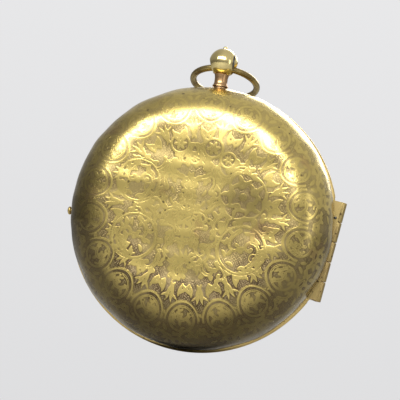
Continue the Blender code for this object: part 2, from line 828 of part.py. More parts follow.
def pendant(dial_side):
    """Neck and ball: the ball has a flared cross hole for the bow, a saw cut and a nub."""
    ball_low = BALL_PLACE - math.sqrt(BALL_RADIUS**2 - NECK_FLARE**2)
    foot = INNER_RADIUS + REST_GAP
    ball = arc((0, BALL_PLACE), BALL_RADIUS, BALL_RADIUS, -math.pi / 2, math.pi / 2, 12)
    ball = [point for point in ball if point[1] > ball_low and point[0] > BALL_NUB_RADIUS]
    top = BALL_PLACE + BALL_RADIUS + BALL_NUB_RISE
    nub_low = BALL_PLACE + math.sqrt(BALL_RADIUS**2 - BALL_NUB_RADIUS**2)
    section = [
        (0, INNER_BORE),
        (TENON_RADIUS, INNER_BORE),
        (TENON_RADIUS, foot),
        (NECK_FOOT_RADIUS, foot),
        (NECK_FOOT_RADIUS, foot + NECK_FOOT),
        (NECK_RADIUS, foot + 2 * NECK_FOOT),
        (NECK_RADIUS, (foot + ball_low) / 2),
        (NECK_FLARE, ball_low),
        *ball,
        (BALL_NUB_RADIUS, nub_low),
        (BALL_NUB_RADIUS, (nub_low + top) / 2),
        (0, top),
    ]
    neck = turned(
        "pendant", section, dial_side, (0, 0, NECK_HEIGHT), (-math.pi / 2, 0, 0), WORK_STEPS
    )
    half = BALL_RADIUS + CUT_OVERRUN
    stations = [half * (2 * i / 8 - 1) for i in range(9)]
    sag = [BOW_MEAN_RADIUS - math.sqrt(BOW_MEAN_RADIUS**2 - x**2) for x in stations]
    flare = [(BOW_WIRE_RADIUS + BOW_FIT + s, x) for s, x in zip(sag, stations)]
    hole = turned(
        "bow_hole",
        [(0, -half), *flare, (0, half)],
        dial_side,
        (0, BALL_PLACE - BOW_DROP, NECK_HEIGHT),
        (0, math.pi / 2, 0),
        WORK_STEPS // 2,
    )
    shape_with(neck, hole)
    deep = math.sqrt(BALL_RADIUS**2 - KERF_PLACE**2) - KERF_DEPTH
    kerf = turned(
        "ball_kerf",
        [
            (deep, -KERF_PLACE - KERF_WIDTH),
            (BALL_RADIUS, -KERF_PLACE - KERF_WIDTH),
            (BALL_RADIUS, -KERF_PLACE),
            (deep, -KERF_PLACE),
        ],
        dial_side,
        (0, BALL_PLACE, NECK_HEIGHT),
        (0, math.pi / 2, 0),
        WORK_STEPS,
    )
    shape_with(neck, kerf)
    finish(neck, "rose_gilt")


def bow(pivot):
    """The ring of round wire that hangs in the ball, its pivot at the middle of the hole."""
    ring = turned(
        "bow",
        arc((BOW_MEAN_RADIUS, 0), BOW_WIRE_RADIUS, BOW_WIRE_RADIUS, 0, 2 * math.pi, BOW_SIDES)[:-1],
        pivot,
        (0, 0, BOW_MEAN_RADIUS),
        (math.pi / 2, 0, 0),
        BOW_STEPS,
    )
    finish(ring, "worn_gilt")


# Movement frame


def perforated(piece, holes, low, high, parent):
    """Bores round holes, given as (name, place, radius), through a plate."""
    for name, place, radius in holes:
        tool = drum(name, radius, low - CUT_OVERRUN, high + CUT_OVERRUN, parent, place)
        shape_with(piece, tool)
    return piece


def centre_distance(module, teeth, leaves):
    """How far apart a wheel and its pinion stand."""
    return module * (teeth + leaves) / 2


def toward(start, bearing, distance):
    """The place at a bearing and a distance from another."""
    x, y = on_circle(distance, bearing)
    return start + Vector((x, y, 0))


CENTRE_PLACE = Vector((0, 0, 0))
THIRD_PLACE = toward(
    CENTRE_PLACE, THIRD_BEARING, centre_distance(CENTRE_MODULE, CENTRE_TEETH, THIRD_LEAVES)
)
CONTRATE_PLACE = toward(
    THIRD_PLACE, CONTRATE_BEARING, centre_distance(THIRD_MODULE, THIRD_TEETH, CONTRATE_LEAVES)
)
MINUTE_PLACE = toward(
    CENTRE_PLACE, MINUTE_BEARING, centre_distance(MOTION_MODULE, CANNON_LEAVES, MINUTE_TEETH)
)
GREAT_WHEEL_HEIGHT = PILLAR_PLATE_BACK - GREAT_WHEEL_DEPTH
CENTRE_WHEEL_HEIGHT = PILLAR_PLATE_BACK - CENTRE_WHEEL_DEPTH
THIRD_WHEEL_HEIGHT = PILLAR_PLATE_BACK - THIRD_WHEEL_DEPTH
CONTRATE_WHEEL_HEIGHT = PILLAR_PLATE_BACK - CONTRATE_WHEEL_DEPTH
CROWN_AXIS_HEIGHT = PILLAR_PLATE_BACK - CROWN_AXIS_DEPTH
PIVOT_HOLE = PIVOT_RADIUS + PIN_FIT


def pillar_pins():
    """The places of the four pillars."""
    return [toward(CENTRE_PLACE, bearing, PILLAR_CIRCLE) for bearing in PILLAR_BEARINGS]


def plates(dial_side):
    """The two plates that hold the train, bored for its pivots."""
    pillars = [
        (f"plate_pin_hole_{index}", place, PILLAR_PIN_RADIUS + PIN_FIT)
        for index, place in enumerate(pillar_pins())
    ]
    top = disc(
        "top_plate",
        TOP_PLATE_RADIUS,
        TOP_PLATE_BACK,
        TOP_PLATE_FRONT,
        dial_side,
        steps=SHELL_STEPS,
    )
    holes = [
        ("top_third_hole", THIRD_PLACE, PIVOT_HOLE),
        ("top_contrate_hole", CONTRATE_PLACE, PIVOT_HOLE),
        ("top_centre_hole", CENTRE_PLACE, PIVOT_HOLE),
        ("top_barrel_hole", BARREL_PLACE, PIVOT_HOLE),
        ("top_fusee_hole", FUSEE_PLACE, SQUARE_SIDE / 2 + 3 * RUNNING_GAP),
        ("top_verge_hole", VERGE_PLACE, 2 * VERGE_RADIUS),
    ]
    perforated(top, pillars + holes, TOP_PLATE_BACK, TOP_PLATE_FRONT, dial_side)
    finish(top, "fire_gilt")
    front = disc(
        "pillar_plate",
        PILLAR_PLATE_RADIUS,
        PILLAR_PLATE_BACK,
        PILLAR_PLATE_FRONT,
        dial_side,
        steps=SHELL_STEPS,
    )
    holes = [
        ("front_third_hole", THIRD_PLACE, PIVOT_HOLE),
        ("front_contrate_hole", CONTRATE_PLACE, PIVOT_HOLE),
        ("front_fusee_hole", FUSEE_PLACE, PIVOT_HOLE),
        ("front_barrel_hole", BARREL_PLACE, PIVOT_HOLE),
        ("front_centre_hole", CENTRE_PLACE, ARBOR_RADIUS + RUNNING_GAP),
        ("front_minute_hole", MINUTE_PLACE, PIVOT_HOLE),
    ]
    perforated(front, holes, PILLAR_PLATE_BACK, PILLAR_PLATE_FRONT, dial_side)
    feet = [
        (f"front_pin_hole_{index}", place, PILLAR_PIN_RADIUS + PIN_FIT)
        for index, place in enumerate(pillar_pins())
    ]
    perforated(front, feet, PILLAR_PLATE_BACK, PILLAR_PLATE_FRONT, dial_side)
    finish(front, "fire_gilt")


def pillars(dial_side):
    """Four baluster pillars, riveted below and pinned above."""
    low = TOP_PLATE_FRONT + REST_GAP / 2
    high = PILLAR_PLATE_BACK - REST_GAP / 2
    waist = PILLAR_RADIUS * PILLAR_WAIST_SHARE
    collar = (high - low) * PILLAR_COLLAR_SHARE
    section = [
        (0, TOP_PLATE_BACK - PILLAR_PIN_RISE),
        (PILLAR_PIN_RADIUS, TOP_PLATE_BACK - PILLAR_PIN_RISE),
        (PILLAR_PIN_RADIUS, low),
        (PILLAR_RADIUS, low),
        (PILLAR_RADIUS, low + collar / 2),
        (waist, low + collar),
        ((waist + PILLAR_RADIUS) / 2, (low + high) / 2),
        (waist, high - collar),
        (PILLAR_RADIUS, high - collar / 2),
        (PILLAR_RADIUS, high),
        (PILLAR_PIN_RADIUS, high),
        (PILLAR_PIN_RADIUS, PILLAR_PLATE_FRONT),
        (0, PILLAR_PLATE_FRONT),
    ]
    for index, place in enumerate(pillar_pins(), start=1):
        pillar = turned(f"pillar_{index}", section, dial_side, place, steps=ARBOR_STEPS)
        finish(pillar, "fire_gilt")


# Toothed wheels


def toothed_outline(count, tooth, start):
    """Points round a wheel whose first tooth stands at the start angle.

    A tooth is (radius, place) points, its places counted in half pitches from its middle.
    """
    step = 2 * math.pi / count
    return [
        on_circle(radius, start + (index + place / 2) * step)
        for index in range(count)
        for radius, place in tooth
    ]


def wheel_outline(module, count, start):
    """A wheel's edge of pointed teeth."""
    pitch_radius = module * count / 2
    root = pitch_radius - module * WHEEL_DEDENDUM_SHARE
    tip = pitch_radius + module * WHEEL_ADDENDUM_SHARE
    tooth = [(root, -WHEEL_TOOTH_SHARE), (tip, 0), (root, WHEEL_TOOTH_SHARE)]
    return toothed_outline(count, tooth, start)


def pinion_outline(module, count, start):
    """A pinion's leaves, thicker at the root than at the tip."""
    pitch_radius = module * count / 2
    root = pitch_radius - module * LEAF_DEDENDUM_SHARE
    tip = pitch_radius + module * LEAF_ADDENDUM_SHARE
    foot, end = LEAF_TOOTH_SHARES
    leaf = [(root, -foot), (tip, -end), (tip, end), (root, foot)]
    return toothed_outline(count, leaf, start)


def window_cutter(name, inner, outer, arms, arm_width, low, high, parent, place):
    """The openings between a wheel's arms, as one cutter."""
    shape = bmesh.new()
    step = 2 * math.pi / arms
    for index in range(arms):
        middle = step * (index + 0.5)
        half_in = step / 2 - math.asin(arm_width / (2 * inner))
        half_out = step / 2 - math.asin(arm_width / (2 * outer))
        outline = [
            *arc((0, 0), outer, outer, middle - half_out, middle + half_out, 4),
            *arc((0, 0), inner, inner, middle + half_in, middle - half_in, 2),
        ]
        corners = [shape.verts.new((x, y, low - CUT_OVERRUN)) for x, y in outline]
        face = shape.faces.new(corners)
        raised = bmesh.ops.extrude_face_region(shape, geom=[face])["geom"]
        lifted = [item for item in raised if isinstance(item, bmesh.types.BMVert)]
        bmesh.ops.translate(shape, vec=(0, 0, high - low + 2 * CUT_OVERRUN), verts=lifted)
    return put(name, mesh_from(name, shape), parent, place)


def wheel(name, module, count, height, thickness, bore, start, place, parent, arms=4):
    """A spoked wheel with a bore for its arbor."""
    outline = wheel_outline(module, count, start)
    piece = slab(name, outline, height, height + thickness, parent, place)
    radius = module * count / 2
    rim = radius * (1 - RIM_WIDTH_SHARE)
    windows = window_cutter(
        f"{name}_windows",
        radius * HUB_SHARE,
        rim,
        arms,
        ARM_WIDTH,
        height,
        height + thickness,
        parent,
        place,
    )
    shape_with(piece, windows)
    perforated(piece, [(f"{name}_bore", place, bore)], height, height + thickness, parent)
    finish(piece, "fire_gilt")
    return piece


def arbor(name, module, leaves, pinion_low, pinion_high, start, place, low, high, parent):
    """A steel arbor with its leaves cut in one piece, and a fine pivot at each end."""
    piece = slab(name, pinion_outline(module, leaves, start), pinion_low, pinion_high, parent, place)
    section = [
        (0, low),
        (PIVOT_RADIUS, low),
        (PIVOT_RADIUS, low + PIVOT_LENGTH),
        (ARBOR_RADIUS, low + PIVOT_LENGTH),
        (ARBOR_RADIUS, high - PIVOT_LENGTH),
        (PIVOT_RADIUS, high - PIVOT_LENGTH),
        (PIVOT_RADIUS, high),
        (0, high),
    ]
    spindle = turned(f"{name}_spindle", section, parent, place, steps=ARBOR_STEPS)
    shape_with(piece, spindle, "UNION")
    finish(piece, "bright_steel")
    return piece


ARBOR_LOW = TOP_PLATE_FRONT + RUNNING_GAP - PIVOT_LENGTH
ARBOR_HIGH = PILLAR_PLATE_BACK - RUNNING_GAP + PIVOT_LENGTH
WHEEL_BORE = ARBOR_RADIUS + PIN_FIT


def facing(leaves, bearing):
    """The start angle that turns a pinion's gap to a bearing."""
    return bearing + math.pi / leaves


def train(dial_side):
    """Centre, third and contrate wheels on their arbors."""
    fusee_bearing = math.atan2(-FUSEE_PLACE.y, -FUSEE_PLACE.x)
    wheel(
        "centre_wheel",
        CENTRE_MODULE,
        CENTRE_TEETH,
        CENTRE_WHEEL_HEIGHT,
        WHEEL_THICKNESS,
        WHEEL_BORE,
        THIRD_BEARING,
        CENTRE_PLACE,
        dial_side,
    )
    arbor(
        "centre_arbor",
        GREAT_MODULE,
        CENTRE_LEAVES,
        GREAT_WHEEL_HEIGHT - PINION_OVERHANG,
        GREAT_WHEEL_HEIGHT + GREAT_THICKNESS + PINION_OVERHANG,
        facing(CENTRE_LEAVES, fusee_bearing + math.pi),
        CENTRE_PLACE,
        ARBOR_LOW,
        MINUTE_HAND_HEIGHT + PIVOT_LENGTH,
        dial_side,
    )
    wheel(
        "third_wheel",
        THIRD_MODULE,
        THIRD_TEETH,
        THIRD_WHEEL_HEIGHT,
        WHEEL_THICKNESS,
        WHEEL_BORE,
        CONTRATE_BEARING,
        THIRD_PLACE,
        dial_side,
    )
    arbor(
        "third_arbor",
        CENTRE_MODULE,
        THIRD_LEAVES,
        CENTRE_WHEEL_HEIGHT - PINION_OVERHANG,
        CENTRE_WHEEL_HEIGHT + WHEEL_THICKNESS + PINION_OVERHANG / 2,
        facing(THIRD_LEAVES, THIRD_BEARING + math.pi),
        THIRD_PLACE,
        ARBOR_LOW,
        ARBOR_HIGH,
        dial_side,
    )
    contrate_wheel(dial_side)
    arbor(
        "contrate_arbor",
        THIRD_MODULE,
        CONTRATE_LEAVES,
        THIRD_WHEEL_HEIGHT - PINION_OVERHANG,
        THIRD_WHEEL_HEIGHT + WHEEL_THICKNESS + PINION_OVERHANG,
        facing(CONTRATE_LEAVES, CONTRATE_BEARING + math.pi),
        CONTRATE_PLACE,
        ARBOR_LOW,
        ARBOR_HIGH,
        dial_side,
    )


CONTRATE_RADIUS = CONTRATE_MODULE * CONTRATE_TEETH / 2
CROWN_PITCH_RADIUS = CONTRATE_MODULE * CROWN_LEAVES / 2
CONTRATE_TIP = CROWN_AXIS_HEIGHT + CROWN_PITCH_RADIUS - CONTRATE_MODULE * WHEEL_ADDENDUM_SHARE
CONTRATE_RIM_HALF = CONTRATE_MODULE * CONTRATE_RIM_SHARE


def contrate_wheel(dial_side):
    """The contrate wheel: a ring with upright teeth, carried by four arms on a hub."""
    low, high = CONTRATE_WHEEL_HEIGHT, CONTRATE_WHEEL_HEIGHT + WHEEL_THICKNESS
    outer, inner = CONTRATE_RADIUS + CONTRATE_RIM_HALF, CONTRATE_RADIUS - CONTRATE_RIM_HALF
    shape = bmesh.new()
    count = 2 * CONTRATE_TEETH
    angles = [math.pi + (index - 0.5) * 2 * math.pi / count for index in range(count)]
    rings = [
        [shape.verts.new((*on_circle(radius, angle), height)) for angle in angles]
        for radius, height in ((inner, low), (outer, low), (outer, high), (inner, high))
    ]
    rim_faces = []
    for level, ring in enumerate(rings):
        above = rings[(level + 1) % len(rings)]
        for index in range(count):
            following = (index + 1) % count
            face = shape.faces.new((ring[index], ring[following], above[following], above[index]))
            if level == 0 and index % 2 == 0:
                rim_faces.append(face)
    for face in rim_faces:
        grown = bmesh.ops.extrude_discrete_faces(shape, faces=[face])["faces"][0]
        middle = grown.calc_center_median()
        across = Vector((-middle.y, middle.x, 0)).normalized()
        for corner in grown.verts:
            offset = (corner.co - middle).dot(across)
            corner.co -= across * offset * (1 - CONTRATE_TOOTH_TAPER_SHARE)
            corner.co.z = CONTRATE_TIP
    piece = put("contrate_wheel", mesh_from("contrate_wheel", shape), dial_side, CONTRATE_PLACE)
    arm_high = high - WHEEL_THICKNESS / 4
    arm_low = low + WHEEL_THICKNESS / 4
    for index in range(2):
        reach = inner + CONTRATE_RIM_HALF
        arms = block(
            f"contrate_arm_{index}",
            (-reach, -ARM_WIDTH / 2, arm_low),
            (reach, ARM_WIDTH / 2, arm_high),
            dial_side,
            CONTRATE_PLACE,
            (0, 0, index * math.pi / 2 + CONTRATE_ARM_TURN),
        )
        shape_with(piece, arms, "UNION")
    hub = drum(
        "contrate_hub", CONTRATE_RADIUS * HUB_SHARE, low, high, dial_side, CONTRATE_PLACE, steps=WORK_STEPS
    )
    shape_with(piece, hub, "UNION")
    perforated(piece, [("contrate_bore", CONTRATE_PLACE, WHEEL_BORE)], low, high, dial_side)
    finish(piece, "fire_gilt")


# Barrel, fusee and chain


def barrel(dial_side):
    """Mainspring barrel with its cover, arbor and coiled spring."""
    low = TOP_PLATE_FRONT + FUSEE_CLEAR
    high = low + BARREL_DEPTH
    bore = BARREL_ARBOR_RADIUS + RUNNING_GAP
    shell = [
        (bore, low),
        (BARREL_RADIUS, low),
        (BARREL_RADIUS, high),
        (BARREL_RADIUS - BARREL_WALL, high),
        (BARREL_RADIUS - BARREL_WALL, low + BARREL_WALL),
        (bore, low + BARREL_WALL),
    ]
    box = turned("barrel", shell, dial_side, BARREL_PLACE, steps=DRUM_STEPS)
    finish(box, "fire_gilt")
    lid_low = high - COVER_THICKNESS
    lid_radius = BARREL_RADIUS - BARREL_WALL - RUNNING_GAP
    lid = [(bore, lid_low), (lid_radius, lid_low), (lid_radius, high), (bore, high)]
    cover = turned("barrel_cover", lid, dial_side, BARREL_PLACE, steps=WORK_STEPS)
    finish(cover, "fire_gilt")
    section = [
        (0, TOP_PLATE_FRONT - PIVOT_LENGTH),
        (PIVOT_RADIUS, TOP_PLATE_FRONT - PIVOT_LENGTH),
        (PIVOT_RADIUS, TOP_PLATE_FRONT + RUNNING_GAP),
        (BARREL_ARBOR_RADIUS, TOP_PLATE_FRONT + RUNNING_GAP),
        (BARREL_ARBOR_RADIUS, high + RUNNING_GAP),
        (PIVOT_RADIUS, high + RUNNING_GAP),
        (PIVOT_RADIUS, ARBOR_HIGH),
        (0, ARBOR_HIGH),
    ]
    core = turned("barrel_arbor", section, dial_side, BARREL_PLACE, steps=ARBOR_STEPS)
    finish(core, "bright_steel")
    inner = BARREL_ARBOR_RADIUS + 4 * RUNNING_GAP
    outer = lid_radius - SPRING_THICKNESS
    steps = SPRING_TURNS * 12
    places = []
    for index in range(steps + 1):
        share = index / steps
        places.append((inner + (outer - inner) * share, share * SPRING_TURNS * 2 * math.pi))
    outline = [on_circle(radius, angle) for radius, angle in places]
    outline += [on_circle(radius + SPRING_THICKNESS, angle) for radius, angle in reversed(places)]
    spring_low = low + BARREL_WALL + 2 * RUNNING_GAP
    spring = slab(
        "mainspring", outline, spring_low, lid_low - 2 * RUNNING_GAP, dial_side, BARREL_PLACE
    )
    finish(spring, "blued_steel")


FUSEE_LOW = TOP_PLATE_FRONT + FUSEE_CLEAR
FUSEE_HIGH = GREAT_WHEEL_HEIGHT - RUNNING_GAP


def fusee_radius(height):
    """The hollow taper of the fusee, wide at the great wheel."""
    share = (height - FUSEE_LOW) / (FUSEE_HIGH - FUSEE_LOW)
    return FUSEE_SMALL_RADIUS + (FUSEE_LARGE_RADIUS - FUSEE_SMALL_RADIUS) * share**FUSEE_CURVE


def fusee(dial_side):
    """The grooved cone that evens out the spring, its wheel and its arbor with the key square."""
    bore = ARBOR_RADIUS + PIN_FIT
    pitch = (FUSEE_HIGH - FUSEE_LOW) / FUSEE_TURNS
    section = [(bore, FUSEE_LOW)]
    for index in range(FUSEE_TURNS):
        low = FUSEE_LOW + index * pitch
        section.append((fusee_radius(low), low))
        section.append((fusee_radius(low + pitch / 2) - FUSEE_GROOVE, low + pitch / 2))
    section.append((fusee_radius(FUSEE_HIGH), FUSEE_HIGH))
    section.append((bore, FUSEE_HIGH))
    cone = turned("fusee", section, dial_side, FUSEE_PLACE, steps=WORK_STEPS)
    finish(cone, "fire_gilt")
    bearing = math.atan2(-FUSEE_PLACE.y, -FUSEE_PLACE.x)
    wheel(
        "great_wheel",
        GREAT_MODULE,
        GREAT_TEETH,
        GREAT_WHEEL_HEIGHT,
        GREAT_THICKNESS,
        WHEEL_BORE,
        bearing,
        FUSEE_PLACE,
        dial_side,
    )
    end = TOP_PLATE_BACK - SQUARE_LENGTH
    key = SQUARE_SIDE / 2
    piece = block(
        "fusee_arbor",
        (-key, -key, end),
        (key, key, TOP_PLATE_BACK - RUNNING_GAP),
        dial_side,
        FUSEE_PLACE,
    )
    section = [
        (0, end + PIVOT_LENGTH),
        (ARBOR_RADIUS, end + PIVOT_LENGTH),
        (ARBOR_RADIUS, PILLAR_PLATE_BACK - RUNNING_GAP),
        (PIVOT_RADIUS, PILLAR_PLATE_BACK - RUNNING_GAP),
        (PIVOT_RADIUS, ARBOR_HIGH),
        (0, ARBOR_HIGH),
    ]
    spindle = turned("fusee_spindle", section, dial_side, FUSEE_PLACE, steps=ARBOR_STEPS)
    shape_with(piece, spindle, "UNION")
    finish(piece, "bright_steel")


def fusee_chain(dial_side):
    """The chain, from its wrap on the barrel along the outer tangent to the fusee."""
    middle = FUSEE_HIGH - (FUSEE_HIGH - FUSEE_LOW) / FUSEE_TURNS
    near_barrel = BARREL_RADIUS + REST_GAP
    near_fusee = fusee_radius(middle + CHAIN_HEIGHT / 2) + REST_GAP
    apart = BARREL_PLACE - FUSEE_PLACE
    along = math.atan2(apart.y, apart.x)
    lean = math.acos((near_fusee - near_barrel) / apart.length)
    touch = along - lean

    def track(extra):
        fusee_arc = arc(
            FUSEE_PLACE, near_fusee + extra, near_fusee + extra, touch - CHAIN_WRAP, touch, 8
        )
        barrel_arc = arc(
            BARREL_PLACE, near_barrel + extra, near_barrel + extra, touch, touch + CHAIN_WRAP, 8
        )
        return [*fusee_arc, *barrel_arc]

    outline = [*track(CHAIN_THICKNESS), *reversed(track(0.0))]
    chain = slab(
        "fusee_chain", outline, middle - CHAIN_HEIGHT / 2, middle + CHAIN_HEIGHT / 2, dial_side
    )
    finish(chain, "bright_steel")


# Escapement


def wedge_cutter(name, count, outer, depth, parent, place, turn):
    """The gaps between the saw teeth of the crown wheel, as one cutter about its own z axis."""
    shape = bmesh.new()
    step = 2 * math.pi / count
    for index in range(count):
        start = index * step
        slope_end = start + CROWN_TOOTH_LEAN_SHARE * step
        gap = ((start, -CUT_OVERRUN), (start, depth), (slope_end, -CUT_OVERRUN))
        corners = []
        for radius in (outer / 2, outer + CUT_OVERRUN):
            for angle, height in gap:
                corners.append(shape.verts.new((*on_circle(radius, angle), height)))
        near, far = corners[:3], corners[3:]
        shape.faces.new(near)
        shape.faces.new(far)
        for here, there in ((0, 1), (1, 2), (2, 0)):
            shape.faces.new((near[here], near[there], far[there], far[here]))
    return put(name, mesh_from(name, shape), parent, place, turn)


def crown_wheel(dial_side):
    """The escape wheel: a cup with thirteen saw teeth facing the verge, on a level arbor."""
    place = (VERGE_PLACE.x + CROWN_FRONT, VERGE_PLACE.y, CROWN_AXIS_HEIGHT)
    turn = (0, math.pi / 2, 0)
    bore = ARBOR_RADIUS + PIN_FIT
    floor = CROWN_DEPTH - CROWN_DISC
    section = [
        (CROWN_RADIUS, 0),
        (CROWN_RADIUS, CROWN_DEPTH),
        (bore, CROWN_DEPTH),
        (bore, floor),
        (CROWN_RADIUS - CROWN_WALL, floor),
        (CROWN_RADIUS - CROWN_WALL, 0),
    ]
    cup = turned("crown_wheel", section, dial_side, place, turn, WORK_STEPS)
    gaps = wedge_cutter(
        "crown_gaps", CROWN_TEETH, CROWN_RADIUS, CROWN_TOOTH_DEPTH, dial_side, place, turn
    )
    shape_with(cup, gaps)
    finish(cup, "fire_gilt")
    pinion_middle = CONTRATE_PLACE.x - CONTRATE_RADIUS - place[0]
    half = CONTRATE_RIM_HALF + PINION_OVERHANG
    outline = pinion_outline(CONTRATE_MODULE, CROWN_LEAVES, facing(CROWN_LEAVES, math.pi))
    piece = slab(
        "crown_arbor", outline, pinion_middle - half, pinion_middle + half, dial_side, place, turn
    )
    front = -POTENCE_GAP - POTENCE_ARM
    back = COUNTER_POTENCE_PLACE - place[0]
    section = [
        (0, front),
        (PIVOT_RADIUS, front),
        (PIVOT_RADIUS, floor),
        (ARBOR_RADIUS, floor),
        (ARBOR_RADIUS, back - RUNNING_GAP),
        (PIVOT_RADIUS, back - RUNNING_GAP),
        (PIVOT_RADIUS, back + PIVOT_LENGTH),
        (0, back + PIVOT_LENGTH),
    ]
    spindle = turned("crown_spindle", section, dial_side, place, turn, ARBOR_STEPS)
    shape_with(piece, spindle, "UNION")
    finish(piece, "bright_steel")


POTENCE_X = VERGE_PLACE.x + CROWN_FRONT - POTENCE_GAP - POTENCE_ARM
POTENCE_Y = VERGE_PLACE.y + CROWN_RADIUS + 4 * RUNNING_GAP
VERGE_END = PILLAR_PLATE_BACK - RUNNING_GAP
FOOT_SUPPORT = CROWN_AXIS_HEIGHT + CROWN_RADIUS + 2 * RUNNING_GAP


def potences(dial_side):
    """The two brackets on the top plate that carry the crown wheel and the foot of the verge."""
    low = TOP_PLATE_FRONT + REST_GAP / 3
    potence = block(
        "potence",
        (VERGE_PLACE.x - POTENCE_DEPTH / 2, POTENCE_Y, low),
        (POTENCE_X + POTENCE_ARM, POTENCE_Y + POTENCE_DEPTH, VERGE_END),
        dial_side,
    )
    arm = block(
        "potence_nose",
        (POTENCE_X, VERGE_PLACE.y - POTENCE_ARM, CROWN_AXIS_HEIGHT - 2 * PIVOT_RADIUS),
        (POTENCE_X + POTENCE_ARM, POTENCE_Y + POTENCE_ARM, CROWN_AXIS_HEIGHT + 2 * PIVOT_RADIUS),
        dial_side,
    )
    shape_with(potence, arm, "UNION")
    step = block(
        "potence_step",
        (VERGE_PLACE.x - 2 * VERGE_RADIUS, VERGE_PLACE.y - 2 * VERGE_RADIUS, FOOT_SUPPORT),
        (VERGE_PLACE.x + 2 * VERGE_RADIUS, POTENCE_Y + POTENCE_ARM, VERGE_END),
        dial_side,
    )
    shape_with(potence, step, "UNION")
    tools = [("step_hole", VERGE_PLACE, VERGE_RADIUS / 2 + PIN_FIT)]
    perforated(potence, tools, FOOT_SUPPORT, VERGE_END, dial_side)
    nose = (0, VERGE_PLACE.y, CROWN_AXIS_HEIGHT)
    bore = drum(
        "nose_hole",
        PIVOT_HOLE,
        POTENCE_X - CUT_OVERRUN / 4,
        POTENCE_X + POTENCE_ARM + CUT_OVERRUN / 4,
        dial_side,
        nose,
        (0, math.pi / 2, 0),
    )
    shape_with(potence, bore)
    finish(potence, "fire_gilt")
    counter = block(
        "counter_potence",
        (COUNTER_POTENCE_PLACE, VERGE_PLACE.y - 2 * PIVOT_RADIUS, low),
        (
            COUNTER_POTENCE_PLACE + PIVOT_LENGTH,
            VERGE_PLACE.y + 2 * PIVOT_RADIUS,
            CROWN_AXIS_HEIGHT + 2 * PIVOT_RADIUS,
        ),
        dial_side,
    )
    bore = drum(
        "counter_hole",
        PIVOT_HOLE,
        COUNTER_POTENCE_PLACE - CUT_OVERRUN,
        COUNTER_POTENCE_PLACE + PIVOT_LENGTH + CUT_OVERRUN,
        dial_side,
        nose,
        (0, math.pi / 2, 0),
    )
    shape_with(counter, bore)
    finish(counter, "fire_gilt")


def balance(dial_side):
    """The three-armed balance on the verge staff with its two pallets, and the spring."""
    section = [
        (0, COCK_BACK + PIVOT_RADIUS),
        (VERGE_RADIUS / 2, COCK_BACK + PIVOT_RADIUS),
        (VERGE_RADIUS / 2, COCK_BACK + COCK_THICKNESS + RUNNING_GAP),
        (VERGE_RADIUS, COCK_BACK + COCK_THICKNESS + RUNNING_GAP),
        (VERGE_RADIUS, FOOT_SUPPORT - RUNNING_GAP),
        (VERGE_RADIUS / 2, FOOT_SUPPORT - RUNNING_GAP),
        (VERGE_RADIUS / 2, VERGE_END),
        (0, VERGE_END),
    ]
    staff = turned("verge_staff", section, dial_side, VERGE_PLACE, steps=ARBOR_STEPS)
    level = CROWN_RADIUS - CROWN_WALL / 2
    for index, side in enumerate((-1, 1)):
        middle = CROWN_AXIS_HEIGHT + side * level
        tilt = side * PALLET_ANGLE / 2
        pallet = block(
            f"pallet_{index}",
            (0, -PALLET_THICKNESS / 2, middle - PALLET_HEIGHT / 2),
            (PALLET_LENGTH, PALLET_THICKNESS / 2, middle + PALLET_HEIGHT / 2),
            dial_side,
            VERGE_PLACE,
            (0, 0, tilt),
        )
        shape_with(staff, pallet, "UNION")
    finish(staff, "bright_steel")
    front = BALANCE_BACK + BALANCE_THICKNESS
    ring = disc(
        "balance_wheel",
        BALANCE_RADIUS,
        BALANCE_BACK,
        front,
        dial_side,
        VERGE_PLACE,
        DISC_STEPS,
    )
    hole = [("balance_bore", VERGE_PLACE, VERGE_RADIUS + PIN_FIT)]
    perforated(ring, hole, BALANCE_BACK, front, dial_side)
    windows = window_cutter(
        "balance_windows",
        BALANCE_RADIUS * HUB_SHARE,
        BALANCE_RADIUS - BALANCE_RIM,
        BALANCE_ARMS,
        BALANCE_RIM,
        BALANCE_BACK,
        front,
        dial_side,
        VERGE_PLACE,
    )
    shape_with(ring, windows)
    finish(ring, "fire_gilt")
    hairspring(dial_side)


def hairspring(dial_side):
    """The short spiral under the balance, and the stud that holds its outer end."""
    steps = HAIRSPRING_TURNS * 12
    curve = bpy.data.curves.new("balance_spring", "CURVE")
    curve.dimensions = "3D"
    curve.bevel_depth = HAIRSPRING_WIRE
    curve.bevel_resolution = 1
    curve.use_fill_caps = True
    line = curve.splines.new("POLY")
    line.points.add(steps)
    for index, point in enumerate(line.points):
        share = index / steps
        radius = HAIRSPRING_INNER + (HAIRSPRING_OUTER - HAIRSPRING_INNER) * share
        x, y = on_circle(radius, share * HAIRSPRING_TURNS * 2 * math.pi)
        point.co = (x, y, HAIRSPRING_HEIGHT, 1)
    spring = put("balance_spring", curve, dial_side, VERGE_PLACE)
    finish(spring, "blued_steel")
    stud_place = VERGE_PLACE + Vector((HAIRSPRING_OUTER, STUD_SIDE / 2 + RUNNING_GAP, 0))
    half = STUD_SIDE / 2
    stud = block(
        "spring_stud",
        (-half, -half, HAIRSPRING_HEIGHT - HAIRSPRING_WIRE),
        (half, half, TOP_PLATE_BACK - REST_GAP / 3),
        dial_side,
        stud_place,
    )
    finish(stud, "fire_gilt")


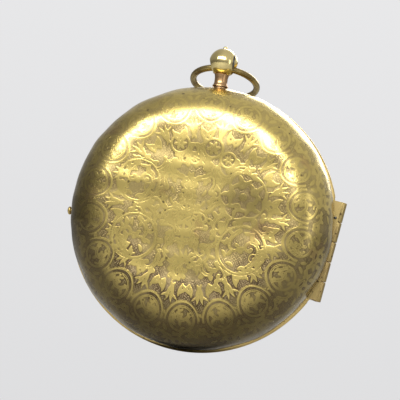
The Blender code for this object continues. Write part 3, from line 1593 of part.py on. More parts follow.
def balance_cock(dial_side):
    """The pierced round cock over the balance, its foot and its screw."""
    back, front = COCK_BACK, COCK_BACK + COCK_THICKNESS
    foot_near = VERGE_PLACE.y + BALANCE_RADIUS + REST_GAP
    foot_far = foot_near + COCK_FOOT_LENGTH
    half = COCK_FOOT_WIDTH / 2
    cock = disc("balance_cock", COCK_RADIUS, back, front, dial_side, VERGE_PLACE, DISC_STEPS)
    windows = window_cutter(
        "cock_windows",
        COCK_HUB_RADIUS,
        COCK_RADIUS - COCK_RING,
        COCK_WINDOWS,
        COCK_ARM,
        back,
        front,
        dial_side,
        VERGE_PLACE,
    )
    shape_with(cock, windows)
    perforated(
        cock,
        [("cock_pivot_hole", VERGE_PLACE, VERGE_RADIUS / 2 + PIN_FIT)],
        back,
        front,
        dial_side,
    )
    foot = block(
        "cock_foot",
        (-half, foot_near, back),
        (half, foot_far, TOP_PLATE_BACK - REST_GAP / 3),
        dial_side,
        (VERGE_PLACE.x, 0, 0),
    )
    shape_with(cock, foot, "UNION")
    screw_place = Vector((VERGE_PLACE.x, (foot_near + foot_far) / 2, 0))
    shaft = COCK_SCREW_RADIUS / 2 + RUNNING_GAP
    perforated(cock, [("screw_way", screw_place, shaft)], back, TOP_PLATE_BACK, dial_side)
    finish(cock, "fire_gilt")
    head = COCK_BACK - RUNNING_GAP
    section = [
        (0, head - COCK_SCREW_HEAD),
        (COCK_SCREW_RADIUS, head - COCK_SCREW_HEAD),
        (COCK_SCREW_RADIUS, head),
        (COCK_SCREW_RADIUS / 2, head),
        (COCK_SCREW_RADIUS / 2, TOP_PLATE_BACK - REST_GAP / 3),
        (0, TOP_PLATE_BACK - REST_GAP / 3),
    ]
    screw = turned("cock_screw", section, dial_side, screw_place, steps=ARBOR_STEPS)
    finish(screw, "blued_steel")


def regulator(dial_side):
    """The silvered regulator disc on its slide plate."""
    half_width, half_length = SLIDE_PLATE_WIDTH / 2, SLIDE_PLATE_LENGTH / 2
    front = TOP_PLATE_BACK - RUNNING_GAP
    outline = arc((0, 0), half_length, half_width, 0, 2 * math.pi, 20)[:-1]
    plate = slab(
        "slide_plate",
        outline,
        front - SLIDE_PLATE_THICKNESS,
        front,
        dial_side,
        REGULATOR_PLACE,
        (0, 0, SLIDE_PLATE_TURN),
    )
    hole = [("slide_hole", REGULATOR_PLACE, ARBOR_RADIUS + RUNNING_GAP)]
    perforated(plate, hole, front - SLIDE_PLATE_THICKNESS, front, dial_side)
    finish(plate, "fire_gilt")
    low = front - SLIDE_PLATE_THICKNESS - RUNNING_GAP
    section = [
        (0, low - REGULATOR_THICKNESS),
        (REGULATOR_RADIUS, low - REGULATOR_THICKNESS),
        (REGULATOR_RADIUS, low),
        (ARBOR_RADIUS, low),
        (ARBOR_RADIUS, front),
        (0, front),
    ]
    figure_disc = turned("regulator_disc", section, dial_side, REGULATOR_PLACE, steps=WORK_STEPS)
    finish(figure_disc, "silvered")


# Motion work, dial and hands

MOTION_LOW = PILLAR_PLATE_FRONT + MOTION_GAP
HOUR_WHEEL_LOW = MOTION_LOW + HOUR_WHEEL_LIFT
DIAL_BACK = PILLAR_PLATE_FRONT + DIAL_LIFT
DIAL_FRONT = DIAL_BACK + DIAL_THICKNESS + DIAL_CROWN
HOUR_HAND_HEIGHT = DIAL_FRONT + HAND_GAP
MINUTE_HAND_HEIGHT = HOUR_HAND_HEIGHT + HAND_THICKNESS + HAND_GAP
CANNON_BORE = ARBOR_RADIUS + PIN_FIT
CANNON_RADIUS = ARBOR_RADIUS + PIPE_WALL
HOUR_PIPE_BORE = CANNON_RADIUS + RUNNING_GAP
HOUR_PIPE_RADIUS = HOUR_PIPE_BORE + PIPE_WALL


def motion_work(dial_side):
    """The cannon pinion, the minute wheel beside it and the hour wheel round it."""
    pinion_high = MOTION_LOW + WHEEL_THICKNESS + RUNNING_GAP / 2
    outline = pinion_outline(MOTION_MODULE, CANNON_LEAVES, facing(CANNON_LEAVES, MINUTE_BEARING))
    cannon = slab("cannon_pinion", outline, MOTION_LOW, pinion_high, dial_side)
    pipe = drum(
        "cannon_pipe", CANNON_RADIUS, MOTION_LOW, MINUTE_HAND_HEIGHT - PIN_FIT, dial_side, steps=ARBOR_STEPS
    )
    shape_with(cannon, pipe, "UNION")
    bore = [("cannon_bore", CENTRE_PLACE, CANNON_BORE)]
    perforated(cannon, bore, MOTION_LOW, MINUTE_HAND_HEIGHT, dial_side)
    finish(cannon, "bright_steel")

    wheel_outline_points = wheel_outline(MOTION_MODULE, MINUTE_TEETH, MINUTE_BEARING + math.pi)
    minute = slab(
        "minute_wheel",
        wheel_outline_points,
        MOTION_LOW,
        MOTION_LOW + WHEEL_THICKNESS,
        dial_side,
        MINUTE_PLACE,
    )
    leaf_low = MOTION_LOW + WHEEL_THICKNESS / 2
    leaves = slab(
        "minute_leaves",
        pinion_outline(MOTION_MODULE, MINUTE_LEAVES, facing(MINUTE_LEAVES, MINUTE_BEARING + math.pi)),
        leaf_low,
        HOUR_WHEEL_LOW + WHEEL_THICKNESS,
        dial_side,
        MINUTE_PLACE,
    )
    shape_with(minute, leaves, "UNION")
    stub = drum(
        "minute_stub",
        PIVOT_RADIUS,
        PILLAR_PLATE_FRONT - PIVOT_LENGTH,
        leaf_low,
        dial_side,
        MINUTE_PLACE,
    )
    shape_with(minute, stub, "UNION")
    finish(minute, "fire_gilt")

    hour = slab(
        "hour_wheel",
        wheel_outline(MOTION_MODULE, HOUR_TEETH, MINUTE_BEARING),
        HOUR_WHEEL_LOW,
        HOUR_WHEEL_LOW + WHEEL_THICKNESS,
        dial_side,
    )
    pipe = drum(
        "hour_pipe",
        HOUR_PIPE_RADIUS,
        HOUR_WHEEL_LOW,
        HOUR_HAND_HEIGHT - PIN_FIT,
        dial_side,
        steps=ARBOR_STEPS,
    )
    shape_with(hour, pipe, "UNION")
    bore = [("hour_bore", CENTRE_PLACE, HOUR_PIPE_BORE)]
    perforated(hour, bore, HOUR_WHEEL_LOW, HOUR_HAND_HEIGHT, dial_side)
    finish(hour, "fire_gilt")


def dial(dial_side):
    """The convex enamel dial on its three feet."""
    crown = arc((0, DIAL_BACK + DIAL_THICKNESS), DIAL_RADIUS, DIAL_CROWN, 0, math.pi / 2, 3)
    edge = [point for point in crown if point[0] > DIAL_HOLE_RADIUS]
    section = [
        (DIAL_HOLE_RADIUS, DIAL_BACK),
        (DIAL_RADIUS, DIAL_BACK),
        *edge,
        (DIAL_HOLE_RADIUS, DIAL_FRONT),
    ]
    face = turned("dial", section, dial_side, steps=INNER_STEPS)
    for index, bearing in enumerate(PILLAR_BEARINGS[:3]):
        place = toward(CENTRE_PLACE, bearing + DIAL_FOOT_TURN, PILLAR_CIRCLE)
        foot = drum(
            f"dial_foot_{index}",
            PILLAR_PIN_RADIUS,
            PILLAR_PLATE_FRONT + REST_GAP / 3,
            DIAL_BACK + DIAL_THICKNESS / 2,
            dial_side,
            place,
        )
        shape_with(face, foot, "UNION")
    finish(face, "white_enamel")


def hand(name, length, height, bearing, bore, parent):
    """A beetle or poker hand: round boss, swelling near the end and a fine point."""
    half = HAND_WIDTH / 2
    neck = half * HAND_NECK_SHARE
    swell = half * HAND_SWELL_SHARE
    root, widest, tip_root = (length * share for share in HAND_PLACE_SHARES)
    eye_end = 2 * math.pi - HAND_EYE_OPENING
    outline = [
        *arc((0, 0), HAND_EYE_RADIUS, HAND_EYE_RADIUS, HAND_EYE_OPENING, eye_end, 12),
        (root, -neck),
        (widest, -swell),
        (tip_root, -neck),
        (length, 0),
        (tip_root, neck),
        (widest, swell),
        (root, neck),
    ]
    piece = slab(name, outline, height, height + HAND_THICKNESS, parent, turn=(0, 0, bearing))
    perforated(piece, [(f"{name}_bore", (0, 0, 0), bore)], height, height + HAND_THICKNESS, parent)
    finish(piece, "blued_steel")


def build():
    """Clears the scene and builds the whole watch."""
    for left_over in list(bpy.data.objects):
        bpy.data.objects.remove(left_over, do_unlink=True)
    dial_side = bpy.data.objects.new("dial_side", None)
    bpy.context.scene.collection.objects.link(dial_side)
    dial_side.rotation_euler = (math.pi / 2, 0, math.pi)
    bpy.context.view_layer.update()

    outer_pivot = empty("outer_bezel_pivot", dial_side, hinge_place(RIM_RADIUS, HINGE_AXIS_HEIGHT))
    inner_pivot = empty(
        "inner_bezel_pivot", dial_side, hinge_place(INNER_HINGE_RADIUS, INNER_HINGE_HEIGHT)
    )
    bow_pivot = empty(
        "bow_pivot", dial_side, (0, BALL_PLACE - BOW_DROP, NECK_HEIGHT), (-BOW_LEAN, 0, 0)
    )
    outer_case_back(dial_side)
    outer_case_bezel(outer_pivot, dial_side)
    hinge_pin(
        "outer_hinge_pin",
        HINGE_LENGTH,
        HINGE_PIN_RADIUS,
        hinge_place(RIM_RADIUS, HINGE_AXIS_HEIGHT),
        dial_side,
    )
    push_button(dial_side)
    inner_case_body(dial_side)
    inner_case_bezel(inner_pivot, dial_side)
    hinge_pin(
        "inner_hinge_pin",
        INNER_HINGE_LENGTH,
        INNER_PIN_RADIUS,
        hinge_place(INNER_HINGE_RADIUS, INNER_HINGE_HEIGHT),
        dial_side,
    )
    pendant(dial_side)
    bow(bow_pivot)
    plates(dial_side)
    pillars(dial_side)
    train(dial_side)
    barrel(dial_side)
    fusee(dial_side)
    fusee_chain(dial_side)
    crown_wheel(dial_side)
    potences(dial_side)
    balance(dial_side)
    balance_cock(dial_side)
    regulator(dial_side)
    motion_work(dial_side)
    dial(dial_side)
    hand(
        "hour_hand",
        HOUR_HAND_LENGTH,
        HOUR_HAND_HEIGHT,
        HAND_BEARINGS[0],
        HOUR_PIPE_BORE,
        dial_side,
    )
    hand(
        "minute_hand",
        MINUTE_HAND_LENGTH,
        MINUTE_HAND_HEIGHT,
        HAND_BEARINGS[1],
        CANNON_BORE,
        dial_side,
    )


build()
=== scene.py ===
"""Looks of a pair-cased verge watch: engraved gilt cases, pendant, bow, glass and painted enamel dial.

Places use the watch's own upright frame: x to the case hinge, y from the back to the dial, z up to
the pendant. Sizes are in millimetres and become metres where a mesh is written.
"""

import json
import logging
import math
from dataclasses import dataclass, field
from enum import Enum
from typing import Sequence

import bpy
import numpy as np
from mathutils import Matrix, Vector


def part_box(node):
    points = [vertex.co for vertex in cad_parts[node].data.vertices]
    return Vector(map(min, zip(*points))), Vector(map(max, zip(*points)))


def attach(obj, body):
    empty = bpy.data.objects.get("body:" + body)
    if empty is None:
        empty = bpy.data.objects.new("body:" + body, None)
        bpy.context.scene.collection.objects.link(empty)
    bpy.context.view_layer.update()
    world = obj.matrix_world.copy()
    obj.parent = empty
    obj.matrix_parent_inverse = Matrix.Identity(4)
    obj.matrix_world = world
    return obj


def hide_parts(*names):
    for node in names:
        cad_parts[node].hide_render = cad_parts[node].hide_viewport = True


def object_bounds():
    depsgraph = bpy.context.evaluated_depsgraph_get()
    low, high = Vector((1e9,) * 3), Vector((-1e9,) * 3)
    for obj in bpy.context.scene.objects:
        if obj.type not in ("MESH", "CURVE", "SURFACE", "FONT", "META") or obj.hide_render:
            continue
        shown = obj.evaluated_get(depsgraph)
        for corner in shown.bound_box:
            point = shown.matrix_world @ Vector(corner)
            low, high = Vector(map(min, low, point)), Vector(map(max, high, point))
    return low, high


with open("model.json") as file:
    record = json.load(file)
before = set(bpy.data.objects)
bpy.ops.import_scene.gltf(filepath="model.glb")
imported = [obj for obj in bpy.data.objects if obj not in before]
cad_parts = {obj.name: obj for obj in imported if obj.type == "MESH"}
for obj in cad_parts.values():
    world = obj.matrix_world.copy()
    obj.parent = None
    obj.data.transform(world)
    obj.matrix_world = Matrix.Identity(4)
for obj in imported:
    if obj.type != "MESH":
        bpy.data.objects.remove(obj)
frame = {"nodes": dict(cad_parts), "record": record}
cad_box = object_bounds()

LOG = logging.getLogger("verge_watch")
MM = 0.001
FAR = 9.0
HALO = 0.6
FOLIAGE_SEED = 11
DENT_SEED = 7
CRISP_EDGE = math.radians(40)
MERGE = MM / 1000
ORIGIN = (0.0, 0.0)
TURN = 2 * math.pi
QUARTER = math.pi / 2

Point2 = tuple[float, float]
Point3 = tuple[float, float, float]
Colour = tuple[float, float, float]
Socket = bpy.types.NodeSocket
Node = bpy.types.Node
Piece = bpy.types.Object
Array = np.ndarray


class Body(Enum):
    """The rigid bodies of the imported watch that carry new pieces."""

    CASES = "cases_and_movement"
    OUTER_BEZEL = "outer_bezel"
    INNER_BEZEL = "inner_bezel"
    BUTTON = "button"
    BOW = "bow_ring"


class Slot(Enum):
    """The finishes that the record names."""

    GILT_CASE = "gilt_case"
    ROSE_GILT = "rose_gilt"
    GILT_MOVEMENT = "gilt_movement"
    STEEL = "steel"
    BLUED_STEEL = "blued_steel"
    SILVERED = "silvered"
    ENAMEL = "enamel"
    GLASS = "glass"


class Tree:
    """A short hand for the nodes of a material or a node group."""

    def __init__(self, tree: bpy.types.NodeTree) -> None:
        """Keeps the tree to build in."""
        self.tree = tree

    def add(self, kind: str, **settings: object) -> Node:
        """Adds a shader node of a kind and sets its properties.

        Args:
            kind: the node's type.
            settings: its properties and their values.

        Returns:
            The new node.
        """
        node = self.tree.nodes.new(f"ShaderNode{kind}")
        for name, value in settings.items():
            setattr(node, name, value)
        return node

    def put(self, target: Socket, value: object) -> None:
        """Links a socket to an input, or sets the input's value.

        Args:
            target: the input.
            value: a socket or a value.
        """
        if isinstance(value, Socket):
            self.tree.links.new(value, target)
        else:
            target.default_value = value

    def feed(self, node: Node, **inputs: object) -> Node:
        """Feeds a node's inputs.

        Args:
            node: the node that is fed.
            inputs: input names, with _ for a space, and a socket or a value for each.

        Returns:
            The same node.
        """
        for name, value in inputs.items():
            self.put(node.inputs[name.replace("_", " ")], value)
        return node

    def math(self, operation: str, *values: object) -> Socket:
        """The result of a Math node on up to three sockets or numbers.

        Args:
            operation: the node's operation.
            values: up to three sockets or numbers.

        Returns:
            The result's socket.
        """
        node = self.add("Math", operation=operation)
        for target, value in zip(node.inputs, values):
            self.put(target, value)
        return node.outputs[0]

    def times(self, first: object, second: object, added: object = 0.0) -> Socket:
        """The product of two sockets or numbers, with a third added to it."""
        return self.math("MULTIPLY_ADD", first, second, added)

    def mix(self, factor: object, first: object, second: object, blend: str = "MIX") -> Socket:
        """Mixes two colours.

        Args:
            factor: the share of the second colour.
            first: a colour or its socket.
            second: a colour or its socket.
            blend: how the two are put together.

        Returns:
            The mixed colour's socket.
        """
        node = self.add("Mix", data_type="RGBA", blend_type=blend)
        for place, value in ((0, factor), (6, first), (7, second)):
            self.put(node.inputs[place], (*value, 1.0) if isinstance(value, tuple) else value)
        return node.outputs[2]

    def ramp(self, value: object, low: float, high: float) -> Socket:
        """A smooth step of a value from 0 at low to 1 at high, which may be the smaller one.

        Args:
            value: the socket that is read.
            low: where the step starts.
            high: where it ends.

        Returns:
            The step's socket.
        """
        node = self.add("MapRange", interpolation_type="SMOOTHSTEP")
        start, end = (1.0, 0.0) if low > high else (0.0, 1.0)
        low, high = sorted((low, high))
        return self.feed(node, Value=value, From_Min=low, From_Max=high, To_Min=start, To_Max=end).outputs[0]

    def noise(self, vector: object, scale: float, detail: float = 4.0, rough: float = 0.55) -> Socket:
        """A noise pattern's value.

        Args:
            vector: the coordinates' socket.
            scale: how many cells there are in one unit.
            detail: how many finer octaves are added.
            rough: how strong they are.

        Returns:
            The noise's socket.
        """
        node = self.feed(self.add("TexNoise"), Vector=vector, Scale=scale, Detail=detail, Roughness=rough)
        return node.outputs["Fac"]

    def axes(self, vector: object) -> Sequence[Socket]:
        """The x, y and z sockets of a vector."""
        return self.feed(self.add("SeparateXYZ"), Vector=vector).outputs

    def attribute(self, name: str) -> Socket:
        """The value of an attribute of the mesh."""
        return self.add("Attribute", attribute_name=name).outputs["Fac"]

    def millimetres(self) -> Socket:
        """The object's own coordinates in millimetres."""
        place = self.add("TexCoord").outputs["Object"]
        return self.feed(self.add("Mapping"), Vector=place, Scale=(1 / MM, 1 / MM, 1 / MM)).outputs[0]

    def shared(self, name: str, **inputs: object) -> Node:
        """Adds and feeds a shared node group, patina or hatching, which is built when first used.

        Args:
            name: the group.
            inputs: what its inputs are fed.

        Returns:
            The group's node.
        """
        if name not in GROUPS:
            GROUPS[name] = {"patina": patina_group, "hatching": hatching_group}[name]()
        return self.feed(self.add("Group", node_tree=GROUPS[name]), **inputs)


GROUPS: dict[str, bpy.types.NodeTree] = {}


def group(name: str, dial: str, usual: float, outputs: Sequence[str]) -> tuple[Tree, Node, Node]:
    """Starts a shared node group that takes a Vector and one number.

    Args:
        name: the group's name.
        dial: its number input.
        usual: that input's usual value.
        outputs: the names of its number outputs.

    Returns:
        The group's tree, its input node and its output node.
    """
    made = bpy.data.node_groups.new(name, "ShaderNodeTree")
    results = [(label, "OUTPUT", "Float") for label in outputs]
    for label, side, kind in (("Vector", "INPUT", "Vector"), (dial, "INPUT", "Float"), *results):
        socket = made.interface.new_socket(label, in_out=side, socket_type=f"NodeSocket{kind}")
        if label == dial:
            socket.default_value = usual
    return Tree(made), made.nodes.new("NodeGroupInput"), made.nodes.new("NodeGroupOutput")


def patina_group() -> bpy.types.NodeTree:
    """Uneven tarnish, small pits and fine handling scratches, on millimetre coordinates.

    Returns:
        The group.
    """
    tree, given, out = group("patina", "Scale", 1.0, ("Tarnish", "Pits", "Scratches"))
    scaled = tree.add("VectorMath", operation="SCALE")
    place = tree.feed(scaled, Vector=given.outputs["Vector"], Scale=given.outputs["Scale"]).outputs[0]
    cells = tree.feed(tree.add("TexVoronoi", feature="F1"), Vector=place, Scale=0.55, Randomness=1.0)
    pit_size = tree.times(tree.noise(place, 0.35, 3.0), 0.34, -0.06)
    drawn_out = tree.feed(tree.add("Mapping"), Vector=place, Rotation=(0.4, 0.9, 0.6), Scale=(9.0, 0.5, 0.5))
    tree.feed(
        out,
        Tarnish=tree.ramp(tree.noise(place, 0.16, 5.0, 0.62), 0.38, 0.68),
        Pits=tree.math("LESS_THAN", cells.outputs["Distance"], pit_size),
        Scratches=tree.ramp(tree.noise(drawn_out.outputs[0], 1.0, 2.0, 0.7), 0.64, 0.74),
    )
    return tree.tree


def hatching_group() -> bpy.types.NodeTree:
    """The crossed graver cuts of the matted ground, on millimetre coordinates laid over the metal.

    Returns:
        The group.
    """
    tree, given, out = group("hatching", "Pitch", 0.4, ("Cuts",))
    across, along, _ = tree.axes(given.outputs["Vector"])
    shift = tree.times(tree.noise(given.outputs["Vector"], 0.9, 2.0), 1.1)
    cuts = []
    for first, second in ((0.8, 0.6), (0.66, -0.75)):
        line = tree.math("ADD", tree.times(across, first), tree.times(along, second))
        turns = tree.math("DIVIDE", tree.math("ADD", line, shift), given.outputs["Pitch"])
        cuts.append(tree.ramp(tree.math("SINE", tree.times(turns, TURN)), 0.05, 0.75))
    tree.feed(out, Cuts=tree.math("MAXIMUM", *cuts))
    return tree.tree


def new_material(name: str) -> tuple[bpy.types.Material, Tree, Node]:
    """A new material, its tree and its shader.

    Args:
        name: the material's name.

    Returns:
        The material, the helper for its nodes, and its shader node.
    """
    material = bpy.data.materials.new(name)
    material.use_nodes = True
    return material, Tree(material.node_tree), material.node_tree.nodes["Principled BSDF"]


@dataclass(frozen=True)
class Metal:
    """A metal finish with tarnish in patches, pits, scratches and a dull or bright polish."""

    name: str
    bright: Colour
    tarnished: Colour
    grime: Colour = (0.085, 0.055, 0.025)
    ground: Colour = (0.31, 0.235, 0.125)
    # Painted shade that the engraved back's rim attribute mixes in.
    shadowed: Colour = (0.10, 0.075, 0.028)
    copper: Colour = (0.40, 0.22, 0.11)
    roughness: float = 0.3
    tarnish: float = 0.5
    tarnish_dulls: float = 0.18
    pits: float = 0.6
    pit_depth: float = 0.02
    scratch_depth: float = 0.004
    line_depth: float = 0.013
    pattern_scale: float = 1.0
    engraved: bool = False
    copper_below: float = 0.0
    film: float = 0.0
    film_roughness: float = 0.22

    def make(self) -> bpy.types.Material:
        """Builds the material.

        Returns:
            The material.
        """
        material, tree, shader = new_material(self.name)
        place = tree.millimetres()
        patina = tree.shared("patina", Vector=place, Scale=self.pattern_scale)
        spots = tree.times(patina.outputs["Pits"], self.pits)
        tarnish = tree.times(patina.outputs["Tarnish"], self.tarnish)
        colour = tree.mix(spots, tree.mix(tarnish, self.bright, self.tarnished), self.grime)
        roughness = tree.times(tarnish, self.tarnish_dulls, self.roughness)
        if self.copper_below:
            uneven = tree.times(tree.noise(place, 0.9), 1.6, self.copper_below - 1.4)
            bare = tree.math("LESS_THAN", tree.axes(place)[2], uneven)
            colour = tree.mix(tree.times(bare, 0.85), colour, self.copper)
            roughness = tree.times(bare, 0.12, roughness)
        scratches = tree.times(patina.outputs["Scratches"], -self.scratch_depth)
        height = tree.times(spots, -self.pit_depth, scratches)
        if self.engraved:
            colour, roughness, height = self.engrave(tree, colour, roughness, height)
        bump = tree.feed(tree.add("Bump"), Height=height, Distance=MM, Strength=1.0)
        tree.feed(shader, Base_Color=colour, Roughness=roughness, Normal=bump.outputs[0], Metallic=1.0)
        tree.feed(shader, Coat_Weight=self.film, Coat_Roughness=self.film_roughness)
        return material

    def engrave(self, tree: Tree, colour: object, roughness: object, height: object) -> tuple[object, ...]:
        """Adds the hatched ground, the cut lines and the painted shade that the mesh's attributes place.

        Args:
            tree: the material's nodes.
            colour: the plain metal's colour.
            roughness: its roughness.
            height: its bump height in millimetres.

        Returns:
            The three with the engraving added.
        """
        ground, line, rim, worn = (tree.attribute(name) for name in ("ground", "line", "rim", "worn"))
        laid = tree.add("UVMap", uv_map="laid_out").outputs[0]
        inside = tree.ramp(ground, 0.03, -0.06)
        wear = tree.times(tree.ramp(tree.noise(laid, 0.2, 3.0), 0.34, 0.6), 0.75, 0.25)
        hatched = tree.times(tree.shared("hatching", Vector=laid).outputs["Cuts"], inside)
        cuts = tree.times(hatched, wear)
        outline = tree.times(tree.ramp(tree.math("ABSOLUTE", ground), 0.15, 0.03), wear)
        thin = tree.times(tree.ramp(line, 0.12, 0.03), wear)
        sunk = tree.times(inside, tree.times(worn, -0.58, 0.58))
        dark = tree.math("MAXIMUM", tree.math("MAXIMUM", outline, thin), tree.times(cuts, 0.95))
        dark = tree.times(dark, tree.math("SUBTRACT", 1.0, worn))
        bared = tree.ramp(tree.noise(laid, 0.11, 3.0), 0.60, 0.70)
        # The rim attribute is painted shade, mixed in towards the shadowed colour.
        layers = (
            (sunk, self.ground),
            (tree.times(bared, 0.4), self.copper),
            (rim, self.shadowed),
            (tree.times(dark, 0.8), self.grime),
        )
        for share, over in layers:
            colour = tree.mix(share, colour, over)
        roughness = tree.times(dark, 0.1, roughness)
        roughness = tree.times(inside, 0.03, roughness)
        return colour, roughness, tree.times(dark, -self.line_depth, height)


@dataclass(frozen=True)
class Plain:
    """A finish that isn't metal: enamel, ink or glass."""

    name: str
    colour: Colour
    second: Colour
    roughness: float = 0.1
    speck_scale: float = 0.6
    coat: float = 0.0
    transmission: float = 0.0

    def make(self) -> bpy.types.Material:
        """Builds the material.

        Returns:
            The material.
        """
        material, tree, shader = new_material(self.name)
        cloud = tree.noise(tree.millimetres(), self.speck_scale)
        colour = tree.mix(tree.ramp(cloud, 0.35, 0.7), self.colour, self.second)
        roughness = tree.times(cloud, 0.06, self.roughness)
        tree.feed(shader, Base_Color=colour, Roughness=roughness, IOR=1.5)
        tree.feed(shader, Coat_Weight=self.coat, Transmission_Weight=self.transmission)
        return material


FINISHES: dict[Slot, Metal | Plain] = {
    Slot.GILT_CASE: Metal("worn_gilt", (0.66, 0.49, 0.19), (0.36, 0.27, 0.10), roughness=0.33),
    Slot.ROSE_GILT: Metal("rose_gilt", (0.56, 0.37, 0.20), (0.32, 0.17, 0.09), roughness=0.34),
    Slot.GILT_MOVEMENT: Metal(
        "fire_gilt", (0.74, 0.54, 0.22), (0.58, 0.40, 0.15), roughness=0.4, tarnish=0.4
    ),
    Slot.STEEL: Metal("bright_steel", (0.58, 0.58, 0.57), (0.40, 0.38, 0.35), roughness=0.24, tarnish=0.35),
    Slot.BLUED_STEEL: Metal(
        "blued_steel", (0.022, 0.036, 0.15), (0.045, 0.035, 0.09), roughness=0.2, pits=0.2
    ),
    Slot.SILVERED: Metal("silvered_brass", (0.80, 0.78, 0.73), (0.55, 0.52, 0.45), roughness=0.38),
    Slot.ENAMEL: Plain("white_enamel", (0.84, 0.83, 0.78), (0.80, 0.78, 0.71), coat=0.4),
    Slot.GLASS: Plain("watch_glass", (0.97, 0.98, 0.97), (0.94, 0.96, 0.95), roughness=0.0, transmission=1.0),
}
ENGRAVED_GILT = Metal(
    "engraved_gilt",
    (0.70, 0.54, 0.165),
    (0.33, 0.26, 0.08),
    roughness=0.23,
    tarnish=0.4,
    pits=0.7,
    engraved=True,
    film=0.3,
)
HINGE_GILT = Metal(
    "hinge_gilt", (0.44, 0.33, 0.13), (0.26, 0.17, 0.08), roughness=0.34, tarnish=0.8, pits=0.8
)
BOW_GILT = Metal("bow_gilt", (0.36, 0.27, 0.10), (0.16, 0.11, 0.045), tarnish=0.9, pattern_scale=2.0)
PENDANT_GILT = Metal(
    "pendant_gilt",
    (0.76, 0.62, 0.28),
    (0.42, 0.31, 0.13),
    roughness=0.16,
    tarnish=0.3,
    pits=0.4,
    copper_below=30.6,
)
# Black ink for the dial's figures; also the painted shade in the saw cut and the lug's hole.
INK = Plain("black_ink", (0.02, 0.018, 0.016), (0.05, 0.045, 0.04), roughness=0.3)
MADE: dict[str, bpy.types.Material] = {}


def coat(piece: Piece, finish: Metal | Plain) -> None:
    """Gives a piece the material of a finish, which is built once.

    Args:
        piece: the piece.
        finish: its finish.
    """
    if finish.name not in MADE:
        MADE[finish.name] = finish.make()
    piece.data.materials.clear()
    piece.data.materials.append(MADE[finish.name])


def dress(piece: Piece, slot: Slot, body: Body, finish: Metal | Plain | None = None) -> None:
    """Gives a finished piece the material of its slot or of a given finish, and the body that it rides on.

    Args:
        piece: the piece.
        slot: the record's slot that its finish stands for.
        body: the body that carries it.
        finish: its finish, where it isn't the slot's own.
    """
    coat(piece, finish or FINISHES[slot])
    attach(piece, body.value)
    LOG.info("%s rides on %s", piece.name, body.value)


def mesh_piece(name: str, points: Array, faces: Sequence[Sequence[int]]) -> Piece:
    """A piece from points in millimetres, one row each, and the corner numbers of its faces.

    Args:
        name: the piece's name.
        points: its points.
        faces: its faces.

    Returns:
        The new object at the origin.
    """
    mesh = bpy.data.meshes.new(name)
    mesh.from_pydata((points * MM).tolist(), [], faces)
    piece = bpy.data.objects.new(name, mesh)
    bpy.context.scene.collection.objects.link(piece)
    tidy(piece)
    return piece


def alone(piece: Piece) -> None:
    """Makes a piece the only selected one.

    Args:
        piece: the piece.
    """
    bpy.ops.object.select_all(action="DESELECT")
    piece.select_set(True)
    bpy.context.view_layer.objects.active = piece


def tidy(piece: Piece) -> None:
    """Merges doubles, drops loose edges, turns faces outwards and shades all but sharp edges smooth.

    Args:
        piece: the piece.
    """
    alone(piece)
    bpy.ops.object.mode_set(mode="EDIT")
    bpy.ops.mesh.select_all(action="SELECT")
    bpy.ops.mesh.remove_doubles(threshold=MERGE)
    bpy.ops.mesh.delete_loose(use_verts=True, use_edges=True, use_faces=False)
    bpy.ops.mesh.select_all(action="SELECT")
    bpy.ops.mesh.normals_make_consistent(inside=False)
    bpy.ops.object.mode_set(mode="OBJECT")
    bpy.ops.object.shade_smooth_by_angle(angle=CRISP_EDGE)


def settle(piece: Piece) -> None:
    """Puts a piece's place into its mesh, so that the object is at the origin and unturned."""
    alone(piece)
    bpy.ops.object.transform_apply(location=True, rotation=True, scale=True)


def spun(name: str, section: Sequence[Point2], steps: int, axis: str = "y", centre: Point2 = ORIGIN) -> Piece:
    """A piece turned from a section, as on a lathe.

    Args:
        name: the piece's name.
        section: (radius, place along the axis) points in millimetres.
        steps: how many steps go round.
        axis: y for the case's axis, z for the pendant's, x for the hinge's.
        centre: where the axis stands, in the two directions across it.

    Returns:
        The new object.
    """
    out, along, middle = {
        "y": (Vector((1, 0, 0)), Vector((0, 1, 0)), Vector((centre[0], 0, centre[1]))),
        "z": (Vector((1, 0, 0)), Vector((0, 0, 1)), Vector((centre[0], centre[1], 0))),
        "x": (Vector((0, 0, 1)), Vector((1, 0, 0)), Vector((0, centre[0], centre[1]))),
    }[axis]
    bpy.ops.mesh.primitive_circle_add(vertices=len(section), radius=MM, fill_type="NOTHING")
    piece = bpy.context.object
    piece.name = piece.data.name = name
    for vertex, (radius, place) in zip(piece.data.vertices, section):
        vertex.co = (middle + out * radius + along * place) * MM
    bpy.ops.object.mode_set(mode="EDIT")
    bpy.ops.mesh.select_all(action="SELECT")
    bpy.ops.mesh.spin(steps=steps, angle=TURN, center=middle * MM, axis=along)
    bpy.ops.object.mode_set(mode="OBJECT")
    tidy(piece)
    return piece


def cut(piece: Piece, tool: Piece) -> None:
    """Cuts a tool's shape out of a piece and deletes the tool.

    Args:
        piece: what is cut.
        tool: the shape that is taken out.
    """
    alone(piece)
    change = piece.modifiers.new("cut", "BOOLEAN")
    change.operation = "DIFFERENCE"
    change.solver = "EXACT"
    change.object = tool
    bpy.ops.object.modifier_apply(modifier=change.name)
    bpy.data.objects.remove(tool, do_unlink=True)
    tidy(piece)


def around(centre: Point2, radius: float, turn: float) -> Point2:
    """The place at a distance from a centre, in a direction in radians."""
    return centre[0] + radius * math.cos(turn), centre[1] + radius * math.sin(turn)


def arc(centre: Point2, across: float, up: float, start: float, end: float, steps: int) -> list[Point2]:
    """Points along part of an ellipse, angles in degrees, both ends counted."""
    angles = np.radians(np.linspace(start, end, steps + 1))
    return [(centre[0] + across * math.cos(a), centre[1] + up * math.sin(a)) for a in angles]


def flat_places(bearing: Array, run: Array) -> Array:
    """The back laid out flat: one row for each angle round it and distance over the metal."""
    return np.stack((run * np.cos(bearing), run * np.sin(bearing)), 1)


def eased(values: Array, low: float, high: float) -> Array:
    """A smooth step from 0 at low to 1 at high."""
    share = np.clip((values - low) / (high - low), 0, 1)
    return share**2 * (3 - 2 * share)


